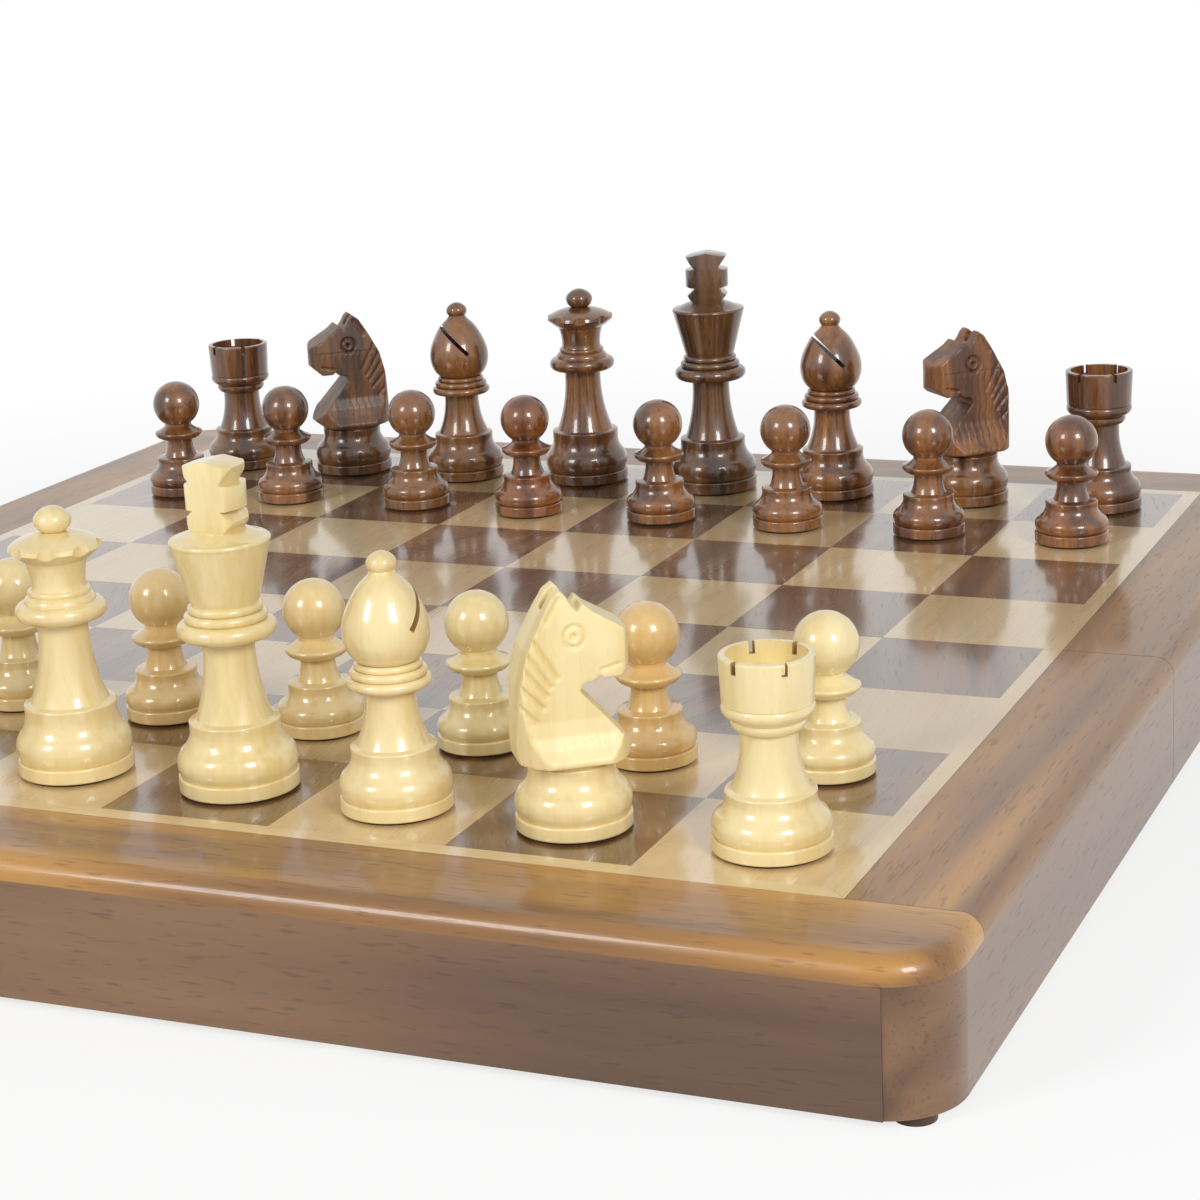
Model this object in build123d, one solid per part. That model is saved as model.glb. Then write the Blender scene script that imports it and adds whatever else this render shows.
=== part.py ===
"""Folding magnetic chess set: a two-part wooden case whose outside is the board, with 32 men.

Millimetres, +Z up. The board lies open and flat. The origin is the middle of the seam at the
level of the surface that the board stands on. +X runs from the a file to the h file, and +Y
from the first rank to the eighth, so the front half carries ranks 1 to 4.
"""

from build123d import *
from dataclasses import dataclass
from math import atan2, degrees, hypot, sqrt
import os

# Board: plan sizes
SQUARE = 31.75  # side of one square
SQUARES_ACROSS = 8
STRING_W = 3.5  # light stringing round the playing field
RAIL_W = 21.0  # border rails, stringing to outer edge
CORNER_R = 12.0  # plan rounding of the four outer corners
EDGE_R = 3.4  # rolled-over outer top edge of the rails
SEAM_GAP = 0.2  # between the two halves when the board lies open

# Board: thicknesses and heights
WOOD_H = 24.3  # underside of the walls to the playing surface
RAIL_T = 4.0  # border rails
WALL_T = 9.0  # outer walls
SEAM_WALL_T = 10.0  # wall along the seam, which takes the hinge leaves
VENEER_T = 0.6  # squares and stringing
STEEL_T = 0.5  # sheet under the veneer that holds the magnets
DECK_T = 3.0  # deck panel between the walls
LINING_T = 1.0  # felt inside the tray
LINING_SETBACK = 2.5  # lining stops this far above the walls' underside

# Hinges, feet and catches
KNUCKLE_R = 1.5
PIN_R = 0.65
PIN_CLEARANCE = 0.05  # radial, in the turning leaf's knuckles
KNUCKLES = 5
KNUCKLE_GAP = 0.15  # along the pin, between neighbouring knuckles
HINGE_L = 32.0
HINGE_X = 85.0  # middle of each hinge from the board's middle
LEAF_W = 8.0  # pin to the leaf's free edge
LEAF_T = 1.0
LEAF_CLEARANCE = 0.25  # round a knuckle, in the wood and in the other leaf
SCREWS_PER_LEAF = 3
SCREW_PITCH = 10.5
SCREW_Y = 4.9  # from the pin
SCREW_HEAD_R = 1.6
SCREW_SHANK_R = 0.8
SCREW_L = 7.0
SLOT_W = 0.45  # screwdriver slot
SLOT_DEPTH = 0.4
SLOT_TURN = 37.0  # each driver slot is turned this much further than the last
FOOT_T = KNUCKLE_R  # felt feet are as thick as the knuckles stand proud
FOOT_R = 3.2
FOOT_INSET = 6.1  # foot centre from both outer faces
CATCH_R = 4.0  # catch magnets let into the outer walls' undersides
CATCH_T = 3.0
CATCH_X = 55.0

# Men: what they share
FELT_T = 0.4
FELT_INSET = 0.7  # felt disc smaller than the base by this
MAGNET_H = 4.0
MAGNET_R = 3.5
BREAK_EDGE = 0.35  # small rounding of turned edges
GROOVE = 0.55  # depth of the groove above the base disc
BELLY_ROLL = 0.65  # the belly draws in by this before it hollows
HOLLOW = 0.25  # how far the curve under the shoulder sinks in

# Worked out from the sizes above
FIELD = SQUARE * SQUARES_ACROSS / 2
STRING_EDGE = FIELD + STRING_W
BOARD = STRING_EDGE + RAIL_W
WALL_IN = BOARD - WALL_T
Z_UNDER = FOOT_T
Z_TOP = Z_UNDER + WOOD_H
Z_RAIL = Z_TOP - RAIL_T
Z_DECK = Z_RAIL - DECK_T
Z_STEEL = Z_TOP - VENEER_T - STEEL_T
Z_VENEER = Z_TOP - VENEER_T
SEAM = SEAM_GAP / 2


def block(x0, x1, y0, y1, z0, z1):
    """A box from its two corners."""
    low = (min(x0, x1), min(y0, y1), z0)
    return Pos(*low) * Box(abs(x1 - x0), abs(y1 - y0), z1 - z0, align=(Align.MIN,) * 3)


def rod(radius, length, at, axis=(0, 0, 1)):
    """A cylinder that starts at a point and runs along an axis."""
    upright = Cylinder(radius, length, align=(Align.CENTER, Align.CENTER, Align.MIN))
    return Plane(origin=at, z_dir=axis) * upright


def both(shape):
    """The shape and its mirror image across the board's middle line."""
    return [shape, mirror(shape, about=Plane.YZ)]


def group(shapes):
    """Separate solids kept side by side in one node."""
    return Compound(children=[s for shape in shapes for s in shape.solids()])


# The front half is modelled, and the back half is its copy turned about the vertical axis.


def outer_plan(z0, z1):
    """Front half's outline with its two rounded corners, from one height to another."""
    whole = extrude(Pos(0, 0, z0) * RectangleRounded(2 * BOARD, 2 * BOARD, CORNER_R), z1 - z0)
    return whole & block(-BOARD, BOARD, -BOARD, -SEAM, z0, z1)


def rail_blank():
    """The border's full outline with its outer top edge rolled over, seam end cut square."""
    plan = extrude(Pos(0, 0, Z_RAIL) * RectangleRounded(2 * BOARD, 2 * BOARD, CORNER_R), RAIL_T)
    rolled = fillet(plan.faces().sort_by(Axis.Z)[-1].edges(), EDGE_R)
    return rolled & block(-BOARD, BOARD, -BOARD, -SEAM, Z_RAIL, Z_TOP)


def cap_rails():
    """End rail over the full width, and two side rails butted against it."""
    blank = rail_blank()
    end = blank & block(-BOARD, BOARD, -BOARD, -STRING_EDGE, Z_RAIL, Z_TOP)
    side = blank & block(STRING_EDGE, BOARD, -STRING_EDGE, -SEAM, Z_RAIL, Z_TOP)
    return group([end, *both(side)])


def side_walls():
    """Planks along the a and h files. Their end grain shows at the front."""
    plank = outer_plan(Z_UNDER, Z_RAIL) & block(WALL_IN, BOARD, -BOARD, -SEAM, Z_UNDER, Z_RAIL)
    return group(both(plank))


def end_wall():
    """Plank between the side walls, with pockets for the catch magnets."""
    plank = block(-WALL_IN, WALL_IN, -BOARD, -WALL_IN, Z_UNDER, Z_RAIL)
    for magnet in catch_magnets().solids():
        plank -= magnet
    return plank


def catch_magnets():
    """Two round magnets, flush with the end wall's underside, that hold the case shut."""
    y = -(BOARD - WALL_T / 2)
    return group(both(rod(CATCH_R, CATCH_T, (CATCH_X, y, Z_UNDER))))


def seam_wall():
    """Plank behind the seam, let in for the hinge leaves, knuckles and screws."""
    plank = block(-WALL_IN, WALL_IN, -SEAM_WALL_T, -SEAM, Z_UNDER, Z_DECK)
    for leaf in both(leaf_recess()):
        plank -= leaf
    for screw in hinge_screws().solids():
        plank -= screw
    return plank


def leaf_recess():
    """Room for one leaf flush in the plank, and for all knuckles with their clearance."""
    x0, x1 = HINGE_X - HINGE_L / 2, HINGE_X + HINGE_L / 2
    flat = block(x0, x1, -LEAF_W, 0, Z_UNDER, Z_UNDER + LEAF_T)
    barrel = rod(KNUCKLE_R + LEAF_CLEARANCE, HINGE_L, (x0, 0, Z_UNDER), (1, 0, 0))
    return flat + barrel


def knuckle_spans():
    """Start and end along X of each knuckle of one hinge."""
    pitch = HINGE_L / KNUCKLES
    start = HINGE_X - HINGE_L / 2
    inset = KNUCKLE_GAP / 2
    return [(start + i * pitch + inset, start + (i + 1) * pitch - inset) for i in range(KNUCKLES)]


def hinge_leaf(own, bore_r):
    """One leaf: a plate with the knuckles of the given parity, drilled for pin and screws."""
    x0, x1 = HINGE_X - HINGE_L / 2, HINGE_X + HINGE_L / 2
    leaf = block(x0, x1, -LEAF_W, 0, Z_UNDER, Z_UNDER + LEAF_T)
    spans = knuckle_spans()
    for i, (a, b) in enumerate(spans):
        if i % 2 != own:
            reach_a = x0 if i == 0 else a - KNUCKLE_GAP
            reach_b = x1 if i == KNUCKLES - 1 else b + KNUCKLE_GAP
            leaf -= rod(KNUCKLE_R + LEAF_CLEARANCE, reach_b - reach_a, (reach_a, 0, Z_UNDER), (1, 0, 0))
    for i, (a, b) in enumerate(spans):
        if i % 2 == own:
            leaf += rod(KNUCKLE_R, b - a, (a, 0, Z_UNDER), (1, 0, 0))
    leaf -= rod(bore_r, HINGE_L, (x0, 0, Z_UNDER), (1, 0, 0))
    for screw in screws_of_leaf():
        leaf -= screw
    return leaf


def screws_of_leaf():
    """Countersunk slotted wood screws of one leaf, heads down and flush with it."""
    shapes = []
    for i in range(SCREWS_PER_LEAF):
        x = HINGE_X + (i - (SCREWS_PER_LEAF - 1) / 2) * SCREW_PITCH
        at = (x, -SCREW_Y, Z_UNDER)
        taper = Cone(SCREW_HEAD_R, SCREW_SHANK_R, LEAF_T, align=(Align.CENTER, Align.CENTER, Align.MIN))
        shank = rod(SCREW_SHANK_R, SCREW_L - LEAF_T, (x, -SCREW_Y, Z_UNDER + LEAF_T))
        shapes.append(Pos(*at) * taper + shank)
    return shapes


def hinge_screws():
    """All screws of one half's two leaves, without their driver slots."""
    return group([s for screw in screws_of_leaf() for s in both(screw)])


def slotted_screws():
    """The same screws with their driver slots cut."""
    slotted = []
    for i, screw in enumerate(hinge_screws().solids()):
        centre = screw.center()
        slot = Box(2 * SCREW_HEAD_R, SLOT_W, 2 * SLOT_DEPTH)
        slot = Pos(centre.X, -SCREW_Y, Z_UNDER) * Rot(0, 0, SLOT_TURN * (i + 1)) * slot
        slotted.append(screw - slot)
    return group(slotted)


def hinge_pins():
    """Two pins, held tight in the front leaves' knuckles."""
    return both(rod(PIN_R, HINGE_L, (HINGE_X - HINGE_L / 2, 0, Z_UNDER), (1, 0, 0)))


def deck():
    """Panel under the field, raised between the rails and butted to the walls all round."""
    low = block(-WALL_IN, WALL_IN, -WALL_IN, -SEAM, Z_DECK, Z_RAIL)
    raised = block(-STRING_EDGE, STRING_EDGE, -STRING_EDGE, -SEAM, Z_RAIL, Z_STEEL)
    return low + raised


def steel_sheet():
    """Thin sheet under the veneer."""
    return block(-STRING_EDGE, STRING_EDGE, -STRING_EDGE, -SEAM, Z_STEEL, Z_VENEER)


def squares(parity):
    """Veneer squares of one colour: parity 0 has the a1 corner."""
    tiles = []
    for column in range(SQUARES_ACROSS):
        for row in range(SQUARES_ACROSS // 2):
            if (column + row) % 2 == parity:
                x, y = -FIELD + column * SQUARE, -FIELD + row * SQUARE
                tiles.append(block(x, x + SQUARE, y, min(y + SQUARE, -SEAM), Z_VENEER, Z_TOP))
    return group(tiles)


def stringing():
    """Light strips round three sides of the half's field, mitred at the corners."""
    corners = [(FIELD, -FIELD), (STRING_EDGE, -STRING_EDGE), (STRING_EDGE, -SEAM), (FIELD, -SEAM)]
    mitre = Polyline(*corners, close=True)
    side = extrude(Pos(0, 0, Z_VENEER) * make_face(mitre), VENEER_T)
    corners = [(-FIELD, -FIELD), (-STRING_EDGE, -STRING_EDGE), (STRING_EDGE, -STRING_EDGE), (FIELD, -FIELD)]
    front = Polyline(*corners, close=True)
    return group([*both(side), extrude(Pos(0, 0, Z_VENEER) * make_face(front), VENEER_T)])


def felt_lining():
    """Felt glued over the tray's ceiling and inner walls, open underneath."""
    z0 = Z_UNDER + LINING_SETBACK
    outer = block(-WALL_IN, WALL_IN, -WALL_IN, -SEAM_WALL_T, z0, Z_DECK)
    x, y0, y1 = WALL_IN - LINING_T, -(WALL_IN - LINING_T), -(SEAM_WALL_T + LINING_T)
    return outer - block(-x, x, y0, y1, z0, Z_DECK - LINING_T)


def felt_feet():
    """Round felt feet under the two outer corners."""
    at = BOARD - FOOT_INSET
    return group(both(rod(FOOT_R, FOOT_T, (at, -at, 0))))


# Men. A turned outline is drawn as radius and height, then spun about the vertical axis.


class Outline:
    """Half outline of a turned piece, built upwards from its base."""

    def __init__(self, r, z):
        self.start = self.at = (r, z)
        self.edges = []

    def line(self, r, z):
        """Straight to a point."""
        self.edges.append(Line((self.at[0], 0, self.at[1]), (r, 0, z)))
        self.at = (r, z)
        return self

    def arc(self, via, r, z):
        """Arc through one point to another."""
        points = [(p[0], 0, p[1]) for p in (self.at, via, (r, z))]
        self.edges.append(ThreePointArc(*points))
        self.at = (r, z)
        return self

    def curve(self, *through, leave=None, arrive=None):
        """Smooth curve through points, with directions at its two ends where they are given."""
        points = [(r, 0, z) for r, z in (self.at, *through)]
        ends = [(d[0], 0, d[1]) for d in (leave, arrive) if d]
        self.edges.append(Spline(*points, tangents=ends or None))
        self.at = through[-1]
        return self

    def bead(self, r, top_r, height):
        """Half-round ring that swells to a radius and ends at another, a height further up."""
        z = self.at[1]
        return self.arc((r, z + height / 2), top_r, z + height)

    def beads(self, rings):
        """Several rings, each as swell, radius above and height."""
        for ring in rings:
            self.bead(*ring)
        return self

    def spin(self):
        """Close the outline on the axis and turn it."""
        if self.at[0] > 0:
            self.line(0, self.at[1])
        self.line(0, self.start[1]).line(*self.start)
        return revolve(make_face(self.edges), Axis.Z)


@dataclass(frozen=True)
class Base:
    """Turned base and stem, heights from the square's face."""

    base_r: float
    disc_h: float
    belly_r: float
    belly_z: float
    shoulder_r: float
    shoulder_z: float
    stem_r: float
    top_r: float
    top_z: float

    def outline(self):
        """Disc, groove, belly, shoulder edge and hollowed stem."""
        o = Outline(self.base_r - BREAK_EDGE, FELT_T)
        o.arc((self.base_r - 0.1, FELT_T + 0.1), self.base_r, FELT_T + BREAK_EDGE)
        o.line(self.base_r, self.disc_h - BREAK_EDGE)
        o.arc((self.base_r - 0.1, self.disc_h - 0.1), self.base_r - GROOVE, self.disc_h)
        rise = self.shoulder_z - self.belly_z
        waist_r = self.belly_r - BELLY_ROLL
        o.arc((self.belly_r, self.belly_z), waist_r, self.belly_z + 0.25 * rise)
        hollow_r = (waist_r + self.shoulder_r) / 2 - HOLLOW
        band_z = self.belly_z + 0.72 * rise
        o.arc((hollow_r, self.belly_z + 0.44 * rise), self.shoulder_r - 0.05, band_z)
        o.line(self.shoulder_r, self.shoulder_z - BREAK_EDGE)
        o.arc((self.shoulder_r - 0.1, self.shoulder_z), self.shoulder_r - BREAK_EDGE, self.shoulder_z + 0.1)
        if self.top_z > self.shoulder_z + 1:
            o.line(self.stem_r, self.shoulder_z + BREAK_EDGE)
            via_z = self.shoulder_z + 0.45 * (self.top_z - self.shoulder_z)
            via_r = self.top_r + 0.22 * (self.stem_r - self.top_r)
            o.arc((via_r, via_z), self.top_r, self.top_z)
        return o


PAWN = Base(7.9, 2.7, 7.85, 4.4, 5.6, 9.2, 3.9, 3.15, 13.6)
ROOK = Base(9.5, 2.7, 9.3, 5.0, 7.2, 9.9, 6.1, 4.5, 19.4)
KNIGHT = Base(9.4, 2.8, 9.3, 5.7, 7.1, 11.4, 7.1, 7.1, 11.6)
BISHOP = Base(9.35, 2.7, 9.3, 5.1, 7.1, 11.1, 6.1, 4.2, 21.0)
QUEEN = Base(9.9, 2.9, 9.9, 5.6, 7.95, 12.6, 6.7, 4.35, 27.3)
KING = Base(10.15, 3.1, 10.1, 5.7, 7.7, 12.4, 6.4, 4.4, 26.6)

PAWN_COLLAR_R = 5.7
PAWN_COLLAR_T = 3.4
PAWN_NECK_R = 3.2
PAWN_BALL_R = 5.6
PAWN_BALL_Z = 22.2

ROOK_RING_R = 5.8
ROOK_CUP_R = 7.15
ROOK_RIM_R = 7.45
ROOK_TOP_Z = 31.5
ROOK_WALL_T = 1.1
ROOK_CUP_DEPTH = 3.8
ROOK_SLOT_W = 1.0
ROOK_SLOT_DEPTH = 1.9
ROOK_SLOT_ANGLES = (-49.0, 67.0)

# Rings as swell, radius above and height; a curve as radius and height of its points.
BISHOP_RINGS = ((7.0, 5.9, 1.6), (6.35, 5.2, 1.3), (5.6, 4.7, 1.2))
BISHOP_ONION_R = 7.15
BISHOP_ONION = ((BISHOP_ONION_R, 30.4), (5.7, 35.3), (3.5, 38.5), (2.0, 40.2))
BISHOP_KNOB_R = 2.5
BISHOP_TOP_Z = 43.4
BISHOP_SLOT_W = 0.9
BISHOP_SLOT_TILT = 45.0
BISHOP_SLOT_L = 13.0
BISHOP_SLOT_END = (3.4, 30.4)  # where the saw stopped

QUEEN_RINGS = ((7.8, 6.1, 3.0), (5.95, 5.2, 1.3), (5.35, 4.8, 1.1))
QUEEN_NECK_R = 4.6
QUEEN_RIM_R = 7.95
QUEEN_RIM_Z = 40.2
QUEEN_DOME_Z = 42.6
QUEEN_BALL_R = 3.2
QUEEN_BALL_H = 4.9
QUEEN_TOP_Z = 47.0
QUEEN_SCALLOPS = 8
QUEEN_SCALLOP_R = 2.2
QUEEN_SCALLOP_DEPTH = 0.8

KING_RINGS = ((8.35, 6.6, 2.8), (7.0, 5.9, 1.5), (6.25, 5.6, 1.4))
KING_CROWN_R = 5.9
KING_RIM_R = 8.35
KING_RIM_Z = 43.5
KING_DOME_Z = 45.2
KING_TOP_Z = 56.6
CROSS_T = 7.2
CROSS_BAR = 9.8  # across the arms
CROSS_BAR_Z = (48.7, 52.6)
CROSS_WAIST = 5.2
CROSS_FLARE = 9.5  # across the top
CROSS_FOOT = 9.2

HORSE_R = 9.7  # turned blank that the head is carved from
HORSE_Z = 11.6  # top of the knight's turned base
# Side view of the head, facing +X, as x and z.
HORSE_SIDE = (
    (7.6, 12.4), (9.6, 13.8), (4.6, 19.6), (1.0, 23.6), (1.4, 24.9), (3.4, 25.3), (4.1, 26.2), (4.9, 25.5),
    (7.4, 25.5), (9.5, 27.4), (9.7, 31.9), (9.3, 32.7), (3.7, 36.1), (2.2, 37.5), (1.3, 36.1), (0.2, 37.6),
    (-0.4, 38.8), (-1.3, 39.8), (-2.8, 38.6), (-4.8, 35.2), (-7.3, 30.2), (-8.6, 24.5), (-9.3, 15.5),
    (-9.0, 12.4),
)
# Front view, as half width and height, flaring out to the blank at the bottom.
HORSE_FRONT = (
    (8.4, 11.6), (8.3, 13.2), (7.1, 15.0), (6.1, 16.9), (5.4, 19.4), (4.9, 30.0), (3.7, 40.5),
)
MUZZLE_TAPER = 22.0  # degrees that each side of the muzzle is cut back
EAR_NOTCH_W = 2.6
EYE = (0.45, 32.5)
EYE_RING_R = 1.8
EYE_RING_W = 0.35
EYE_HOLE_R = 0.45
CARVE_DEPTH = 0.45
MANE_CUT_W = 0.8
# Start and end of each groove of the mane, as x and z.
MANE_CUTS = (
    ((-6.7, 33.7), (-2.5, 26.3)), ((-8.0, 31.8), (-3.7, 24.9)), ((-8.6, 29.1), (-4.3, 23.5)),
    ((-9.0, 25.8), (-5.0, 21.7)), ((-9.2, 22.6), (-6.3, 19.6)),
)


def pawn():
    """Ball over a thin-edged collar."""
    o = PAWN.outline()
    z = PAWN.top_z
    o.line(PAWN_NECK_R + 0.4, z + 0.1).arc((PAWN_COLLAR_R - 0.6, z + 0.7), PAWN_COLLAR_R, z + 1.5)
    o.arc((PAWN_COLLAR_R - 0.02, z + 1.8), PAWN_COLLAR_R - 0.25, z + 2.05)
    o.arc((PAWN_NECK_R + 1.25, z + 2.5), PAWN_NECK_R, z + PAWN_COLLAR_T)
    o.line(PAWN_NECK_R, PAWN_BALL_Z - sqrt(PAWN_BALL_R**2 - PAWN_NECK_R**2))
    o.arc((PAWN_BALL_R, PAWN_BALL_Z), 0, PAWN_BALL_Z + PAWN_BALL_R)
    return o.spin()


def rook():
    """Cup with a sunk top and two saw cuts across its rim."""
    o = ROOK.outline()
    z = ROOK.top_z
    o.line(ROOK_RING_R - 0.9, z + 0.1).bead(ROOK_RING_R, ROOK_RING_R, 1.7)
    o.line(ROOK_CUP_R - 0.7, z + 2.4).arc((ROOK_CUP_R, z + 3.1), ROOK_CUP_R, z + 4.2)
    o.line(ROOK_CUP_R - 0.2, z + 4.4).line(ROOK_CUP_R, z + 4.6)
    inner = ROOK_RIM_R - ROOK_WALL_T
    o.line(ROOK_RIM_R, ROOK_TOP_Z - BREAK_EDGE).arc(
        (ROOK_RIM_R - 0.1, ROOK_TOP_Z - 0.1), ROOK_RIM_R - BREAK_EDGE, ROOK_TOP_Z)
    o.line(inner, ROOK_TOP_Z).line(inner - 0.3, ROOK_TOP_Z - ROOK_CUP_DEPTH)
    body = o.spin()
    for angle in ROOK_SLOT_ANGLES:
        cut = Box(4 * ROOK_RIM_R, ROOK_SLOT_W, 2 * ROOK_SLOT_DEPTH)
        body -= Pos(0, 0, ROOK_TOP_Z) * Rot(0, 0, angle) * cut
    return body


def bishop():
    """Onion-shaped mitre on three rings, with one slanting saw cut."""
    o = BISHOP.outline()
    z = BISHOP.top_z
    o.line(BISHOP_RINGS[0][1] - 0.3, z + 0.2).beads(BISHOP_RINGS)
    o.curve(*BISHOP_ONION, leave=(1, 0.5), arrive=(-0.4, 1))
    o.curve((BISHOP_KNOB_R, o.at[1] + 1.3), (0, BISHOP_TOP_Z), leave=(1, 1), arrive=(-1, 0))
    body = o.spin()
    size = (BISHOP_SLOT_L, 3 * BISHOP_ONION_R, BISHOP_SLOT_W)
    cut = Box(*size, align=(Align.MAX, Align.CENTER, Align.CENTER))
    x, end_z = BISHOP_SLOT_END
    return body - Pos(x, 0, end_z) * Rot(0, BISHOP_SLOT_TILT, 0) * cut


def queen():
    """Scalloped coronet with a flattened ball on its dome."""
    o = QUEEN.outline()
    z = QUEEN.top_z
    o.line(QUEEN_RINGS[0][1] - 0.3, z + 0.2).beads(QUEEN_RINGS)
    o.line(QUEEN_NECK_R, z + 6.2)
    o.arc((QUEEN_NECK_R + 0.1, z + 8.0), QUEEN_NECK_R + 0.7, QUEEN_RIM_Z - 2.4)
    o.arc((6.5, QUEEN_RIM_Z - 1.6), QUEEN_RIM_R, QUEEN_RIM_Z - BREAK_EDGE)
    o.line(QUEEN_RIM_R - 0.2, QUEEN_RIM_Z + BREAK_EDGE)
    o.curve((5.0, QUEEN_DOME_Z - 0.7), (1.9, QUEEN_DOME_Z))
    o.curve((QUEEN_BALL_R, QUEEN_TOP_Z - QUEEN_BALL_H / 2), (0, QUEEN_TOP_Z), leave=(1, 0.4), arrive=(-1, 0))
    body = o.spin()
    out = QUEEN_RIM_R + QUEEN_SCALLOP_R - QUEEN_SCALLOP_DEPTH
    for i in range(QUEEN_SCALLOPS):
        angle = 360 / QUEEN_SCALLOPS * (i + 0.5)
        flute = rod(QUEEN_SCALLOP_R, 2 * QUEEN_SCALLOP_R, (out, 0, QUEEN_RIM_Z - QUEEN_SCALLOP_R))
        body -= Rot(0, 0, angle) * flute
    return body


def king_cross():
    """Thick cross with notched ends, a flared top and foot, rounded by the lathe."""
    low, high = CROSS_BAR_Z
    right = [
        (CROSS_FOOT / 2 - 1.9, KING_DOME_Z - 0.6),
        (CROSS_FOOT / 2, KING_DOME_Z + 1.4),
        (CROSS_WAIST / 2, low - 0.25),
        (CROSS_BAR / 2, low),
        (CROSS_BAR / 2, high),
        (CROSS_WAIST / 2, high + 0.25),
        (CROSS_FLARE / 2, KING_TOP_Z - 0.9),
    ]
    outline = [*right, (0, KING_TOP_Z), *[(-x, z) for x, z in reversed(right)]]
    face = make_face(Polyline(*[(x, 0, z) for x, z in outline], close=True))
    slab = extrude(face, CROSS_T / 2, dir=(0, 1, 0), both=True)
    return slab & rod(CROSS_BAR / 2 + 0.15, KING_TOP_Z, (0, 0, 0))


def king():
    """Flared crown with a shallow dome and a cross."""
    o = KING.outline()
    z = KING.top_z
    o.line(KING_RINGS[0][1] - 0.3, z + 0.1).beads(KING_RINGS)
    o.line(KING_CROWN_R, z + 6.6)
    o.arc((7.2, KING_RIM_Z - 5.2), KING_RIM_R, KING_RIM_Z - 0.8)
    o.arc((KING_RIM_R + 0.05, KING_RIM_Z - 0.3), KING_RIM_R - 0.6, KING_RIM_Z)
    o.curve((4.6, KING_DOME_Z - 0.4), (0, KING_DOME_Z), arrive=(-1, 0), leave=(-1, 0.3))
    return o.spin() + king_cross()


def cheek_at(z):
    """Half width of the head at a height, from its front view."""
    for (y0, z0), (y1, z1) in zip(HORSE_FRONT, HORSE_FRONT[1:]):
        if z0 <= z <= z1:
            return y0 + (y1 - y0) * (z - z0) / (z1 - z0)


def cheek_cuts():
    """Eye ring, eye hole and mane grooves, sunk into the +Y cheek."""
    x, z = EYE
    at = (x, cheek_at(z) - CARVE_DEPTH, z)
    out = (0, 1, 0)
    ring = rod(EYE_RING_R, EYE_RING_R, at, out) - rod(EYE_RING_R - EYE_RING_W, EYE_RING_R, at, out)
    cuts = [ring, rod(EYE_HOLE_R, EYE_RING_R, (x, at[1] - CARVE_DEPTH, z), out)]
    for (x0, z0), (x1, z1) in MANE_CUTS:
        length, slope = hypot(x1 - x0, z1 - z0), degrees(atan2(z0 - z1, x1 - x0))
        cut = Box(length, EYE_RING_R, MANE_CUT_W, align=(Align.MIN, Align.MIN, Align.CENTER))
        sunk = cheek_at((z0 + z1) / 2) - CARVE_DEPTH
        cuts.append(Pos(x0, sunk, z0) * Rot(0, slope, 0) * cut)
    return cuts


def knight():
    """Turned base with a flat-cheeked horse's head carved from a round blank."""
    o = KNIGHT.outline()
    o.line(KNIGHT.stem_r, HORSE_SIDE[0][1] + BREAK_EDGE)
    base = o.spin()
    side_face = make_face(Polyline(*[(x, 0, z) for x, z in HORSE_SIDE], close=True))
    outline = [*HORSE_FRONT, *[(-y, z) for y, z in reversed(HORSE_FRONT)]]
    front_face = make_face(Polyline(*[(0, y, z) for y, z in outline], close=True))
    head = extrude(side_face, HORSE_R, dir=(0, 1, 0), both=True)
    head &= extrude(front_face, HORSE_R, dir=(1, 0, 0), both=True)
    head &= rod(HORSE_R, 3 * HORSE_R, (0, 0, HORSE_Z))
    muzzle = Pos(10.6, HORSE_FRONT[-3][0] + 1.3, 29) * Rot(0, 0, -MUZZLE_TAPER) * Box(14, 5, 16)
    head -= muzzle
    head -= mirror(muzzle, about=Plane.XZ)
    head -= Pos(-0.6, 0, 41.2) * Rot(0, -38, 0) * Box(11, EAR_NOTCH_W, 7.4)
    for cut in cheek_cuts():
        head -= cut
        head -= mirror(cut, about=Plane.XZ)
    return base + head


def with_magnet(body, base):
    """The turned body with its magnet pressed in from below, over a felt disc."""
    slug = rod(MAGNET_R, MAGNET_H, (0, 0, FELT_T))
    felt = rod(base.base_r - FELT_INSET, FELT_T, (0, 0, 0))
    return [body - slug, slug, felt]


KINDS = {
    "pawn": (pawn, PAWN),
    "rook": (rook, ROOK),
    "knight": (knight, KNIGHT),
    "bishop": (bishop, BISHOP),
    "queen": (queen, QUEEN),
    "king": (king, KING),
}
BACK_ROW = ("rook", "knight", "bishop", "queen", "king", "bishop", "knight", "rook")
FILES = "abcdefgh"
# How far each man stands off its square's middle in x and y, and how far it is turned.
STANDING = {
    "b1": (0.4, -0.6, 28), "c1": (0, 0, 240), "d1": (0.7, 0.2, 0), "e1": (1.6, 0, 0),
    "f1": (0.6, -1.9, 263.8), "g1": (0.5, -2.0, 36), "h1": (2.3, -2.7, 0),
    "f2": (0.3, -0.4, 0), "h2": (-0.7, 1.7, 0),
    "a7": (1.0, 0.4, 0), "c7": (1.9, 0.8, 0), "e7": (1.3, 0.5, 0), "f7": (0.4, 0.1, 0),
    "g7": (1.4, 0.6, 0), "h7": (1.5, 0.7, 0),
    "a8": (0.7, 0.3, 0), "b8": (0.2, 0.4, 221), "c8": (0, 0, 23.8), "d8": (0, 2.6, 0), "e8": (2.1, 0.9, 16),
    "f8": (0.6, 0.3, 23.8), "g8": (1.0, 0.8, 224), "h8": (0, 0.6, 0),
}


def square_middle(name):
    """Middle of a square from its file letter and rank number."""
    column, row = FILES.index(name[0]), int(name[1]) - 1
    return -FIELD + (column + 0.5) * SQUARE, -FIELD + (row + 0.5) * SQUARE


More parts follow.
